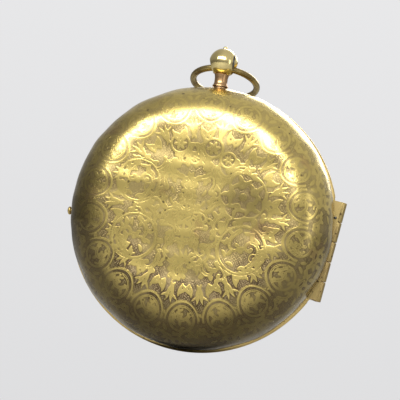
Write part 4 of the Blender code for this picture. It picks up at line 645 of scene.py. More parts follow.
def hump(flat: Array, centre: object, size: float, power: int = 1) -> Array:
    """A soft round patch, 1 in its middle; a higher power makes its top flatter."""
    return np.exp(-((((flat - np.array(centre)) ** 2).sum(1) / size**2) ** power))


def walked(start: object, turn: Array, steps: object) -> Array:
    """The path of a walk from a start, in changing directions and by given steps."""
    return np.array(start) + np.cumsum(np.stack((np.cos(turn), np.sin(turn))) * steps, axis=1).T


def bridged(sizes: Sequence[int], closed: bool = False) -> list[tuple[int, ...]]:
    """Faces between rings of points.

    Args:
        sizes: each ring's number of points, in order. Next to each other they are equal, one is
            twice the other, or one is a single point.
        closed: whether the last ring meets the first.

    Returns:
        The corner numbers of each face.
    """
    starts = [0, *(int(total) for total in np.cumsum(sizes))]
    faces = []
    for first in range(len(sizes) if closed else len(sizes) - 1):
        second = (first + 1) % len(sizes)
        a, b, n, m = starts[first], starts[second], sizes[first], sizes[second]
        most = max(n, m)
        for here in range(most):
            low, high = a + here * n // most, a + (here + 1) * n // most % n
            near, far = b + here * m // most, b + (here + 1) * m // most % m
            if n < m and low != high:
                faces += [(low, near, high), (high, near, far)]
            else:
                faces.append(tuple(dict.fromkeys((low, near, far, high))))
    return faces


@dataclass
class CaseForm:
    """The outer case's sizes in millimetres, shared by its back, its bezel and their engraving."""

    plateau: float = 18.6
    flank: float = 8.3
    seam: float = 10.4
    seam_gap: float = 0.2
    proud: float = 0.03
    hinge_bearing: float = -7.5
    button_bearing: float = 4.0
    hinge_length: float = 21.0
    hinge_radius: float = 0.9
    lug_hole_share: float = 0.33
    lug_depth: float = 1.2
    notch_depth: float = 8.0
    notch_half: float = 1.8

    @property
    def rim(self) -> float:
        """The radius of the case's upright edge."""
        return self.plateau + self.flank

    def run_to(self, depth: float) -> float:
        """The run at which the flank or the upright edge reaches a depth.

        Args:
            depth: how far from the back's flat it is.

        Returns:
            The run.
        """
        if depth < self.flank:
            return self.plateau + self.flank * math.acos(1 - depth / self.flank)
        return self.plateau + self.flank * QUARTER + depth - self.flank

    def at_hinge(self, bearing: float, margin: float) -> bool:
        """Whether a bearing lies within the hinge's length and a margin at either end."""
        away = math.remainder(bearing - math.radians(self.hinge_bearing), TURN)
        return math.cos(away) > 0 and abs(self.rim * math.sin(away)) < self.hinge_length / 2 + margin


class Engraving:
    """Signed distances, in millimetres, from points laid out flat to the forms engraved there.

    Its layers are the areas of hatched ground, the bright bands kept on them and the thin cut lines.
    """

    def __init__(self, points: Array) -> None:
        """Starts with bare metal at flat places, one row each."""
        self.points = points
        self.area, self.band, self.line = (np.full(len(points), FAR) for _ in range(3))

    def keep(self, layer: str, distance: Array, chosen: object = slice(None)) -> None:
        """Adds a form to a layer, for all points or the chosen ones."""
        values = getattr(self, layer)
        values[chosen] = np.minimum(values[chosen], distance)

    def away(self, centre: Point2) -> Array:
        """How far each point is from a centre."""
        return np.linalg.norm(self.points - np.array(centre), axis=1)

    def stroke(self, path: Array, widths: object, cut_line: bool = False) -> None:
        """Adds a bright stroke, or a thin cut line.

        Args:
            path: the stroke's middle line.
            widths: its half width, one number or one for each point of the path.
            cut_line: whether it is a cut line.
        """
        reach = HALO + float(np.max(widths))
        inside = (self.points > path.min(0) - reach) & (self.points < path.max(0) + reach)
        chosen = np.nonzero(np.all(inside, axis=1))[0]
        if not len(chosen):
            return
        widths = np.broadcast_to(widths, len(path)).astype(float)
        spots = self.points[chosen][:, None, :]
        starts, steps = path[:-1][None], np.diff(path, axis=0)[None]
        share = ((spots - starts) * steps).sum(2) / np.maximum((steps**2).sum(2), 1e-9)
        share = np.clip(share, 0, 1)
        gap = np.linalg.norm(spots - starts - share[..., None] * steps, axis=2)
        gap -= widths[:-1] + share * (widths[1:] - widths[:-1])
        nearest = gap.min(1)
        if cut_line:
            self.keep("line", np.maximum(nearest, 0), chosen)
        else:
            self.keep("band", nearest, chosen)

    def disc(self, centre: Point2, radius: float) -> None:
        """Adds a round patch of hatched ground."""
        self.keep("area", self.away(centre) - radius)

    def ring(self, centre: Point2, radius: float, half_width: float | None = None) -> None:
        """Adds a round bright stroke, or a round cut line where no half width is given.

        Args:
            centre: its centre.
            radius: its radius.
            half_width: half the bright stroke's width.
        """
        distance = np.abs(self.away(centre) - radius)
        if half_width is None:
            self.keep("line", distance)
        else:
            self.keep("band", distance - half_width)

    def scroll(
        self, start: object, heading: float, length: float, curl: float, width: float, leaves: int = 3
    ) -> None:
        """Adds a scroll that tightens to its eye, with leaves along its outer side.

        Args:
            start: where its root is.
            heading: the direction it sets off in, in radians.
            length: how long it is.
            curl: how many radians it turns by its end, to the left when above zero.
            width: its half width at the root.
            leaves: how many leaves it throws off.
        """
        shares = np.linspace(0, 1, 30)
        turn = heading + curl * shares**1.9
        path = walked(start, turn, length / (len(shares) - 1) * (1.25 - 0.75 * shares))
        taper = width * (1.0 - 0.62 * shares)
        taper[-3:] = width * 0.75
        self.stroke(path, taper)
        if width > 0.34:
            self.stroke(path[2:18], 0.0, cut_line=True)
        side = -math.copysign(1.0, curl)
        for index in range(leaves):
            place = int((0.16 + 0.2 * index) * len(shares))
            lean = turn[place] + side * (1.15 - 0.1 * index)
            self.leaf(path[place], lean, length * (0.25 - 0.03 * index), width * 0.85, side * 0.9)

    def leaf(self, start: object, heading: float, length: float, width: float, bend: float) -> None:
        """Adds a pointed leaf that bends over towards its tip.

        Args:
            start: its root.
            heading: the direction it sets off in, in radians.
            length: its length.
            width: its largest half width.
            bend: how many radians it turns by its tip.
        """
        shares = np.linspace(0, 1, 8)
        path = walked(start, heading + bend * shares, length / len(shares))
        self.stroke(path, width * np.sin(math.pi * (0.12 + 0.86 * shares)) ** 0.8)

    def fan(self, centre: Point2, radius: float, turns: Sequence[float], lean: float, *leaf: float) -> None:
        """Adds leaves of one length, width and bend that start round a centre and lean off its spokes.

        Args:
            centre: their common centre.
            radius: how far from it they start.
            turns: the spokes' directions.
            lean: how far they lean off their spokes.
            leaf: a leaf's length, width and bend.
        """
        for turn in turns:
            self.leaf(around(centre, radius, turn), turn + lean, *leaf)

    def ground(self) -> Array:
        """The distance to the edge of the hatched ground, below zero inside it."""
        return np.maximum(self.area, -self.band)


@dataclass
class Layout:
    """Where the engraver put each motif on the back, in millimetres from its middle.

    A medallion is x, y, radius and the side its scroll turns to, or 0 for a flower. A rosette is x, y
    and radius. A border leaf is its share of the pitch, lean and length.
    """

    middle: Point2 = (-2.2, 0.6)
    cartouche: Point2 = (4.4, 7.6)
    medallions: tuple[tuple[float, float, float, float], ...] = (
        (8.9, 4.0, 4.7, 0.0),
        (10.0, -6.7, 4.9, -1.0),
        (-12.6, 4.9, 4.3, -1.0),
        (-12.0, -6.4, 4.6, 1.0),
    )
    rosettes: tuple[Point3, ...] = ((-5.2, 13.3, 1.8), (1.6, 13.1, 1.9), (4.9, 11.0, 1.5), (-1.8, 10.6, 1.1))
    border_leaves: tuple[Point3, ...] = ((0.08, 0.5, 3.4), (0.2, -0.62, 3.9), (0.36, 0.62, 4.3))
    cells: float = 16.6
    roundels: int = 18
    roundel: Point2 = (0.05, 3.3)
    fill_step: float = 3.3
    fill_length: float = 6.6
    fill_jitter: float = 0.55
    petal_step: float = 1.257

    @property
    def pitch(self) -> float:
        """The angle from one roundel to the next."""
        return TURN / self.roundels


class BackEngraver:
    """Lays the whole ornament out on the back and its flank."""

    def __init__(self, case: CaseForm, layout: Layout) -> None:
        """Keeps the case's form and the places of the motifs."""
        self.case = case
        self.layout = layout

    def engrave(self, bearing: Array, run: Array) -> tuple[Array, Array]:
        """Works the ornament out at each point.

        Args:
            bearing: each point's angle round the back.
            run: its distance from the middle, over the surface.

        Returns:
            The distances to the hatched ground's edge and to the nearest cut line.
        """
        ground, line = np.full(len(run), FAR), np.full(len(run), FAR)
        inner = run < self.case.plateau + 2.6
        ground[inner], line[inner] = self.plateau(flat_places(bearing, run)[inner], run[inner])
        outer = run > self.case.plateau - 1.6
        flank_ground, flank_line, beyond = self.flank(bearing[outer], run[outer])
        ground[outer] = np.where(beyond, flank_ground, ground[outer])
        line[outer] = np.where(beyond, flank_line, line[outer])
        return ground, line

    def plateau(self, flat: Array, run: Array) -> tuple[Array, Array]:
        """The ornament of the flat part.

        Args:
            flat: the points laid out flat.
            run: their distances from the middle.

        Returns:
            The distances to the hatched ground's edge and to the nearest cut line.
        """
        plan = self.layout
        work, foliage = Engraving(flat), Engraving(flat)
        self.foliage(foliage)
        frames = np.full(len(flat), FAR)
        for x, y, radius, *_ in (*plan.medallions, *plan.rosettes):
            frames = np.minimum(frames, work.away((x, y)) - radius)
        work.area = np.maximum(run - plan.cells - 4.0, 0.35 - frames)
        work.band = np.where(frames > 0, foliage.band, FAR)
        work.line = np.where(frames > 0, foliage.line, FAR)
        self.border_cells(work)
        self.cartouche(work, np.array(plan.middle))
        for x, y, radius, side in plan.medallions:
            if side:
                self.medallion(work, (x, y), radius, side)
            else:
                self.flower(work, (x, y))
        for x, y, radius in plan.rosettes:
            self.rosette(work, (x, y), radius)
        self.shell(work, (plan.middle[0] + 1.2, plan.middle[1] - 11.6))
        return work.ground(), work.line

    def foliage(self, work: Engraving) -> None:
        """Scrolls with leaves over the whole plateau, mirrored about the cartouche's stem.

        Args:
            work: the engraving that it is added to.
        """
        plan, jitter = self.layout, self.layout.fill_jitter
        draw = np.random.RandomState(FOLIAGE_SEED)
        reach = int(20 / plan.fill_step) + 1
        for row in range(-reach, reach + 1):
            for column in range(reach + 1):
                across = 1.1 + plan.fill_step * column + draw.uniform(-jitter, jitter)
                up = plan.fill_step * row + draw.uniform(-jitter, jitter)
                heading, side = draw.uniform(0, TURN), draw.choice((-1, 1))
                for mirror in (-1, 1):
                    place = (plan.middle[0] + mirror * across, up)
                    if math.hypot(*place) > plan.cells - 3.0:
                        continue
                    aim = heading if mirror > 0 else math.pi - heading
                    work.scroll(place, aim, plan.fill_length, side * mirror * 5.0, 0.66, 4)

    def border_cells(self, work: Engraving) -> None:
        """Bold leaves on a hatched band that follows the arches, with a fan where two arches meet.

        Args:
            work: the engraving that it is added to.
        """
        plan = self.layout
        foot = plan.cells - 2.1
        for index in range(plan.roundels):
            middle = (index + 0.5) * plan.pitch
            for side in (-1, 1):
                for share, lean, length in plan.border_leaves:
                    turn = middle + side * share * plan.pitch
                    work.leaf(around(ORIGIN, foot, turn), turn + side * lean, length, 0.44, -side * 0.5)
            edge = middle + plan.pitch / 2
            for lean in (-0.9, -0.3, 0.3, 0.9):
                work.leaf(around(ORIGIN, foot + 2.4, edge), edge + lean, 2.4, 0.3, 0.1 * lean)

    def flower(self, work: Engraving, centre: Point2) -> None:
        """A large flower of five leafy petals on a hatched ground.

        Args:
            work: the engraving that it is added to.
            centre: its middle.
        """
        for index in range(5):
            turn = 0.5 + index * self.layout.petal_step
            work.disc(around(centre, 2.2, turn), 2.35)
            petal = around(centre, 2.5, turn)
            work.ring(petal, 0.5, 0.5)
            work.fan(petal, 0, (turn - 1.5, turn, turn + 1.5), 0, 2.3, 0.5, 0.6)
        work.ring(centre, 0.35, 0.5)

    def medallion(self, work: Engraving, centre: Point2, radius: float, side: float) -> None:
        """A round frame with leafy scrolls on a hatched ground.

        Args:
            work: the engraving that it is added to.
            centre: its middle.
            radius: its radius.
            side: the side its scroll turns to.
        """
        x, y = centre
        work.disc(centre, radius - 0.4)
        work.ring(centre, radius - 0.1, 0.2)
        work.ring(centre, radius + 0.14)
        root = (x - side * radius * 0.15, y - radius * 0.86)
        crown = (x + side * radius * 0.1, y + radius * 0.84)
        work.scroll(root, QUARTER + side * 0.85, radius * 2.5, -side * 6.6, 0.66, 4)
        work.scroll(crown, -QUARTER + side * 0.9, radius * 1.7, -side * 5.4, 0.56, 4)
        work.ring((x - side * radius * 0.52, y - radius * 0.28), 0.85, 0.2)
        work.fan(centre, radius * 0.84, [index * 0.7 + side for index in range(9)], 2.5, 2.0, 0.44, side)

    def cartouche(self, work: Engraving, middle: Array) -> None:
        """The symmetrical spray of foliage on its stem in the middle.

        Args:
            work: the engraving that it is added to.
            middle: its middle.
        """
        across, up = self.layout.cartouche
        stem = middle + np.stack((np.zeros(12), np.linspace(-up * 0.82, up * 0.76, 12)), 1)
        work.stroke(stem, np.linspace(0.4, 0.2, 12))
        for side in (-1, 1):
            for level in range(5):
                root = stem[1 + 2 * level]
                work.scroll(root, QUARTER - side * 1.1, 4.9 - 0.5 * level, side * 5.4, 0.5)
                work.leaf(root + np.array((side * 2.6, 1.0)), QUARTER - side * 0.9, 1.9, 0.36, side * 0.8)
            work.leaf(stem[-1], QUARTER - side * 0.5, 1.7, 0.34, side * 0.5)
            for shift in (-1, 1):
                foot = middle + np.array((side * across * 0.72, shift * up * 0.84))
                work.scroll(foot, QUARTER * shift - side * 0.2, 6.0, -side * shift * 5.0, 0.46)

    def rosette(self, work: Engraving, centre: Point2, radius: float) -> None:
        """A flower of petals on a small hatched disc.

        Args:
            work: the engraving that it is added to.
            centre: its middle.
            radius: its radius.
        """
        work.disc(centre, radius - 0.2)
        work.ring(centre, radius - 0.1, 0.18)
        work.ring(centre, radius * 0.22, 0.14)
        work.fan(centre, 0, [index * TURN / 6 for index in range(6)], 0, radius * 0.8, radius * 0.22, 0.5)

    def shell(self, work: Engraving, centre: Point2) -> None:
        """The fan at the foot of the cartouche, between two long curved leaves.

        Args:
            work: the engraving that it is added to.
            centre: where its ribs meet.
        """
        work.fan(centre, 0, [math.radians(18 + 24 * index) for index in range(7)], 0, 3.3, 0.4, 0.0)
        for side in (-1, 1):
            work.scroll((centre[0] + side * 0.6, centre[1] - 0.4), QUARTER - side * 1.3, 8.0, side * 3.0, 0.5)
        work.ring(centre, 3.7)

    def flank(self, bearing: Array, run: Array) -> tuple[Array, Array, Array]:
        """Arches over paired roundels, large foliage below them and a border towards the seam.

        Args:
            bearing: each point's angle round the back.
            run: its distance from the middle, over the surface.

        Returns:
            The distances to the ground's edge and to a cut line, and which points lie past the arches.
        """
        pitch, (x, y) = self.layout.pitch, self.layout.roundel
        mean = self.case.plateau + self.case.flank * 0.55
        half = pitch * mean / 2
        number = np.floor(bearing / pitch)
        place = (bearing / pitch - number - 0.5) * pitch * mean
        place = np.where(number % 2 == 0, place, -place)
        out = run - self.case.plateau
        work = Engraving(np.stack((place, out), 1))
        away = work.away((x, y))
        beyond = (away < 3.98) | (out > y - 0.6)
        work.area = np.maximum(out - 10.6, -FAR)
        work.ring((x, y), 2.6, 0.32)
        work.keep("band", np.maximum(np.abs(away - 3.62) - 0.34, out - y - 0.8))
        for radius in (2.62, 3.3, 3.78):
            work.keep("line", np.where(out < y + 0.8, np.abs(away - radius), FAR))
        scrolls = (
            ((x - 1.9, y - 1.3), 0.9, 6.2, -6.0, 0.52, 4),
            ((x + 2.0, y + 0.6), -2.0, 3.9, -4.8, 0.45, 3),
            ((-half + 0.2, 9.9), 0.5, 7.6, -4.9, 0.62, 4),
            ((half - 0.3, 6.6), 2.3, 6.4, 4.8, 0.58, 4),
            ((half - 0.1, 10.2), 3.0, 4.6, -4.6, 0.5, 4),
            ((-half + 0.3, 5.2), 1.2, 4.4, -4.8, 0.5, 3),
            ((0.4, 6.9), 0.1, 4.2, 4.6, 0.46, 3),
        )
        for scroll in scrolls:
            work.scroll(*scroll)
        work.fan((x, y), 2.3, [index * 1.05 + 0.4 for index in range(6)], 2.6, 1.3, 0.36, -0.9)
        leaves = ((-0.6, 6.7, 2.6), (2.4, 8.6, 1.0), (-1.4, 8.4, 2.2), (0.6, 9.4, 0.3))
        for across, up, aim in ((half - 0.4, 4.6, 1.7), *leaves):
            work.leaf((across, up), aim, 2.0, 0.46, 0.8)
        for level in (11.2, 11.7, 14.4):
            work.keep("line", np.abs(out - level))
        tooth = half / 2.5
        between = np.abs((place / tooth) % 1 - 0.5) * tooth
        work.keep("area", np.maximum(np.abs(out - 13.05) - 0.75, 0.32 - between))
        return work.ground(), work.line, beyond


@dataclass
class OuterCase:
    """The engraved back skin, the bezel, the sleeves of the hinge and the push button."""

    form: CaseForm = field(default_factory=CaseForm)
    layout: Layout = field(default_factory=Layout)
    cut_depth: float = 0.011
    crown: float = 0.002
    line_depth: float = 0.008
    roll_off: float = 0.22
    lip: float = 0.31
    stock: float = 0.13
    unevenness: float = 0.02
    dent: float = 0.1
    rubbed: Point2 = (-5.0, 0.5)
    rubbed_size: float = 8.3666
    swells: int = 12
    dents: int = 26
    hollows: tuple[tuple[float, float, float, float], ...] = (
        (-1.5, -12.2, 3.4, 0.16),
        (13.2, -11.6, 3.0, 0.15),
        (14.2, 0.4, 3.2, 0.13),
        (-9.4, 12.4, 3.6, 0.1),
        (7.2, 13.4, 2.6, 0.1),
        (-14.8, -9.8, 2.8, 0.12),
    )
    columns: tuple[int, ...] = (160, 320, 640)
    zone_runs: tuple[float, ...] = (5.0, 12.0)
    row_step: float = 0.2
    skin: float = 0.2
    lap: float = 0.02
    squeezed: float = 0.0015
    bezel_columns: int = 240
    bezel_centre: Point2 = (23.4, 11.6)
    bezel_swell: Point2 = (3.53, 5.43)
    knuckle_round: float = 0.12

    def limit(self, bearing: float) -> float:
        """How far out the skin runs at a bearing: it stops short of the hinge's lug and the neck.

        Args:
            bearing: an angle round the back, in radians.

        Returns:
            The longest run there.
        """
        form = self.form
        if form.at_hinge(bearing, -0.1):
            return form.run_to(form.seam - form.lug_depth + 0.03)
        across = form.rim * math.cos(bearing)
        if math.sin(bearing) > 0 and abs(across) < form.notch_half:
            return form.run_to(form.notch_depth - math.sqrt(form.notch_half**2 - across**2))
        return form.run_to(form.seam - self.lap)

    def rings(self) -> list[tuple[Array, Array]]:
        """The bearings and runs of each ring of the outer face, from the middle outwards.

        Returns:
            A pair for each ring.
        """
        limits = {n: np.array([self.limit(TURN * i / n) for i in range(n)]) for n in self.columns}
        furthest = self.form.run_to(self.form.seam - self.lap)
        count = int(furthest / self.row_step)
        found = []
        for row in range(1, count + 1):
            run = furthest * row / count
            columns = self.columns[sum(run > edge for edge in self.zone_runs)]
            limit = limits[columns]
            runs = np.where(run > limit, limit + (run - limit) * self.squeezed, run)
            found.append((TURN * np.arange(columns) / columns, runs))
        return found

    def place(self, bearing: Array, run: Array, lift: Array) -> Array:
        """The points at bearings and runs, lifted off the case along its normal.

        Args:
            bearing: each point's angle.
            run: its distance over the metal.
            lift: how far it is lifted.

        Returns:
            The points, one row each.
        """
        form = self.form
        turned = np.clip((run - form.plateau) / form.flank, 0, QUARTER)
        beyond = np.maximum(run - form.plateau - form.flank * QUARTER, 0)
        radius = np.minimum(run, form.plateau) + (form.flank + lift) * np.sin(turned)
        depth = form.flank * (1 - np.cos(turned)) + beyond - lift * np.cos(turned)
        return np.stack((radius * np.cos(bearing), depth, radius * np.sin(bearing)), 1)

    def relief(self, bearing: Array, run: Array, ground: Array, line: Array) -> Array:
        """How far each point stands off the case, with the engraving, its wear and the old dents.

        Args:
            bearing: each point's angle round the back.
            run: its distance from the middle, over the surface.
            ground: its distance to the hatched ground's edge.
            line: its distance to the nearest cut line.

        Returns:
            The heights.
        """
        flat = flat_places(bearing, run)
        sunk = np.clip(0.5 - ground / 0.16, 0, 1)
        height = self.cut_depth * (1 - sunk) + self.crown * np.exp(-(((ground - 0.3) / 0.3) ** 2))
        height -= self.line_depth * np.clip(1 - line / 0.15, 0, 1)
        height *= 1 - 0.5 * hump(flat, self.rubbed, self.rubbed_size)
        height += self.roll_off * (1 - eased(run, 13.0, 22.0)) + self.stock
        below = np.clip(-1.5 * np.sin(bearing) - 0.3, 0, 1)
        height += self.lip * below * (eased(run, 12.6, 18.2) - eased(run, 18.0, 20.6))
        draw = np.random.RandomState(DENT_SEED)
        swell = np.zeros(len(run))
        for _ in range(self.swells):
            wave = draw.normal(0, 0.42, 2)
            swell += np.cos(flat @ wave + draw.uniform(0, TURN))
        height += self.unevenness * swell
        for x, y, size, depth in self.hollows:
            height -= depth * hump(flat, (x, y), size)
        for _ in range(self.dents):
            spot = draw.uniform(-22, 22, 2)
            size = draw.uniform(1.0, 3.4)
            height -= draw.uniform(0.2, 1.0) * self.dent * hump(flat, spot, size)
        bow_rest = np.exp(-((flat[:, 0] / 9.5) ** 8) - ((flat[:, 1] - 23.0) / 5.0) ** 6)
        return np.maximum(height * (1 - bow_rest), 0.0)

    def back(self) -> None:
        """The engraved skin over the outer case's back."""
        rings = self.rings()
        bearing = np.concatenate([[0.0], *[ring[0] for ring in rings]])
        run = np.concatenate([[0.0], *[ring[1] for ring in rings]])
        ground, line = BackEngraver(self.form, self.layout).engrave(bearing, run)
        outside = self.place(bearing, run, self.form.proud + self.relief(bearing, run, ground, line))
        edge, reach = rings[-1]
        inside = [self.place(edge, reach * share, -self.skin) for share in (1, 0.9, 0.72, 0.5, 0.25)]
        middle = self.place(np.zeros(1), np.zeros(1), -self.skin)
        sizes = [1, *[len(ring[0]) for ring in rings], *[len(ring) for ring in inside], 1]
        piece = mesh_piece("engraved_case_back", np.concatenate([outside, *inside, middle]), bridged(sizes))
        self.mark(piece, ground, line)
        dress(piece, Slot.GILT_CASE, Body.CASES, ENGRAVED_GILT)

    def mark(self, piece: Piece, ground: Array, line: Array) -> None:
        """Stores the engraving, the wear, a painted shade and the laid-out coordinates on the mesh.

        Args:
            piece: the back's skin.
            ground: the distance to the hatched ground's edge at each point of its outer face.
            line: the distance to the nearest cut line there.
        """
        mesh, form = piece.data, self.form
        places = np.empty(len(mesh.vertices) * 3)
        mesh.vertices.foreach_get("co", places)
        x, depth, z = places.reshape(-1, 3).T / MM
        radius, bearing = np.hypot(x, z), np.arctan2(z, x)
        turned = np.arcsin(np.clip((radius - form.plateau) / form.flank, 0, 1))
        run = np.minimum(radius, form.plateau) + form.flank * turned + np.maximum(depth - form.flank, 0)
        flat = flat_places(bearing, run)
        full = np.full((2, len(mesh.vertices)), FAR)
        full[:, : len(ground)] = ground, line
        out = run - form.plateau
        # Painted shade: rim darkens the lower flank, and a soft patch on the plateau, towards a shaded
        # colour.
        rim = np.clip((out + 0.5) / 5, 0, 1) * np.clip(0.6 - 0.8 * np.sin(bearing + 0.3), 0, 1)
        rim = np.maximum(rim, 0.55 * hump(flat, (9.4, 3.2), 4.8, power=2))
        handled = np.clip((out - 1) / 5, 0, 1) * np.clip(0.35 + 0.9 * np.sin(bearing - 0.1), 0, 1)
        crisp = np.exp(-(((run - 16.6) / 3.4) ** 4)) * np.clip(0.1 - 1.2 * np.sin(bearing), 0, 1)
        worn = np.maximum(0.3 * hump(flat, self.rubbed, 7.5), 0.68 * handled) - 0.6 * crisp
        for name, values in (("ground", full[0]), ("line", full[1]), ("rim", rim * 0.88), ("worn", worn)):
            attribute = mesh.attributes.new(name, "FLOAT", "POINT")
            attribute.data.foreach_set("value", np.clip(values, -2, 2).astype(np.float32))
        corners = np.empty(len(mesh.loops), np.int32)
        mesh.loops.foreach_get("vertex_index", corners)
        layer = mesh.uv_layers.new(name="laid_out")
        layer.data.foreach_set("uv", flat[corners].astype(np.float32).ravel())

    def bezel(self) -> None:
        """The smooth skin of the bezel: its bead at the seam and its rise to the mouth."""
        form, centre, (across, up) = self.form, self.bezel_centre, self.bezel_swell
        base = form.seam + form.seam_gap + 0.02
        clear = form.seam + form.seam_gap + 1.6
        section = [
            (26.75, base),
            *arc((form.rim + 0.1, base + 0.5), 0.53, 0.53, -62, 82, 10),
            *arc(centre, across, up, 2, 90, 22)[1:],
            *((23.15, 16.9), (23.1, 16.6), (23.3, 16.4)),
            *arc(centre, 3.3, 5.1, 80, 0, 8),
        ]
        bearings = [TURN * index / self.bezel_columns + 0.004 for index in range(self.bezel_columns)]
        points = []
        for radius, depth in section:
            for bearing in bearings:
                reach, height = radius, depth
                if form.at_hinge(bearing, 0.2) and depth < clear:
                    height = clear + 0.02 * (depth - base)
                    if radius > 26.6:
                        reach = centre[0] + across * math.sqrt(max(1 - ((height - centre[1]) / up) ** 2, 0))
                points.append((reach * math.cos(bearing), height, reach * math.sin(bearing)))
        faces = bridged([len(bearings)] * len(section), closed=True)
        piece = mesh_piece("case_bezel_rim", np.array(points), faces)
        dress(piece, Slot.GILT_CASE, Body.OUTER_BEZEL)

    def hinge(self) -> None:
        """Smooth sleeves over the five knuckles, and a black disc as painted shade in the upper lug's hole.
        """
        form, soft = self.form, self.knuckle_round
        pitch = form.hinge_length / 5
        radius, half = form.hinge_radius + 0.035, pitch / 2 - 0.065
        bearing = math.radians(form.hinge_bearing)
        along = Vector((-math.sin(bearing), 0, math.cos(bearing)))
        base = Vector((form.rim * math.cos(bearing), form.seam + 0.1, form.rim * math.sin(bearing)))
        corner = arc((radius - soft, soft - half), soft, soft, -90, 0, 3)[1:]
        section = [(0.2, -half), (radius - soft, -half), *corner]
        section += [(r, -z) for r, z in reversed(section)]
        for index in range(5):
            sleeve = spun(f"hinge_knuckle_{index + 1}", section, 32, "z")
            sleeve.location = (base + along * (index - 2) * pitch) * MM
            sleeve.rotation_euler = (0, -bearing, 0)
            settle(sleeve)
            dress(sleeve, Slot.GILT_CASE, Body.OUTER_BEZEL if index % 2 else Body.CASES, HINGE_GILT)
        # A black disc just under the lug's face, as painted shade inside its hole.
        hole = spun("lug_hole", [(0, -0.03), (0.24, -0.03), (0.28, 0.0), (0, 0.0)], 24)
        x, z = around(ORIGIN, form.rim - 0.5, bearing)
        place = Vector((x, form.seam - form.lug_depth - 0.08, z))
        place += along * form.hinge_length * form.lug_hole_share
        hole.data.transform(Matrix.Translation(place * MM))
        tidy(hole)
        dress(hole, Slot.GILT_CASE, Body.CASES, INK)

    def button(self) -> None:
        """The domed push button on its stem."""
        section = [(0, -0.7), (0.4, -0.7), (0.4, 0.42), (0.72, 0.42), (0.85, 0.55)]
        section += [*arc((0, 0.62), 0.85, 0.48, 0, 90, 8)[:-1], (0, 1.1)]
        knob = spun("button_head", section, 40, "x", (8.8, 0))
        flip = Matrix.Diagonal((-1, 1, 1, 1))
        turned = Matrix.Rotation(-math.radians(self.form.button_bearing), 4, "Y")
        knob.data.transform(turned @ Matrix.Translation((-self.form.rim * MM, 0, 0)) @ flip)
        tidy(knob)
        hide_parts("push_button")
        dress(knob, Slot.GILT_CASE, Body.BUTTON)

    def build(self) -> None:
        """Builds the outer case's pieces."""
        self.back()
        self.bezel()
        self.hinge()
        self.button()


@dataclass
class InnerCase:
    """The plain inner case: its shell, its bezel and the domed glass."""

    radius: float = 25.0
    seam: float = 13.0
    foot: Point2 = (18.6, 7.4)
    mouth: float = 22.6
    bezel_base: float = 13.3
    glass_base: float = 15.1
    glass_rim: float = 21.9
    dome: float = 4.6
    glass: float = 0.6

    def shell(self) -> None:
        """A smooth skin round the inner case's side."""
        outer, top = self.radius + 0.03, self.seam - 0.4
        section = [*arc(self.foot, 6.43, 6.43, -90, 0, 16), (outer, top)]
        section += [(outer - 0.25, top), *arc(self.foot, 6.15, 6.15, 0, -90, 12)]
        piece = spun("inner_case_side", section, 160)
        dress(piece, Slot.GILT_MOVEMENT, Body.CASES)

    def bezel(self) -> None:
        """A smooth skin over the inner bezel, clear of its hinge."""
        centre = (self.mouth, self.bezel_base)
        section = [*arc(centre, 2.43, 2.63, 0, 90, 14), (22.12, 15.93), (22.12, 15.7), (22.4, 15.75)]
        piece = spun("inner_bezel_rim", section + arc(centre, 2.2, 2.35, 80, 0, 8), 160)
        dress(piece, Slot.GILT_MOVEMENT, Body.INNER_BEZEL)

    def crystal(self) -> None:
        """The high domed glass."""
        top = self.glass_base + 0.4
        outside = arc((0, top), self.glass_rim, self.dome, 0, 90, 24)
        inside = arc((0, self.glass_base), self.glass_rim - self.glass, self.dome - 0.2, 90, 0, 24)
        outside[-1], inside[0] = (0, outside[-1][1]), (0, inside[0][1])
        section = [(self.mouth - 0.2, self.glass_base), (self.mouth - 0.2, top), *outside, *inside]
        piece = spun("domed_glass", section, 128)
        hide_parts("crystal")
        dress(piece, Slot.GLASS, Body.INNER_BEZEL)

    def build(self) -> None:
        """Builds the inner case's pieces."""
        self.shell()
        self.bezel()
        self.crystal()


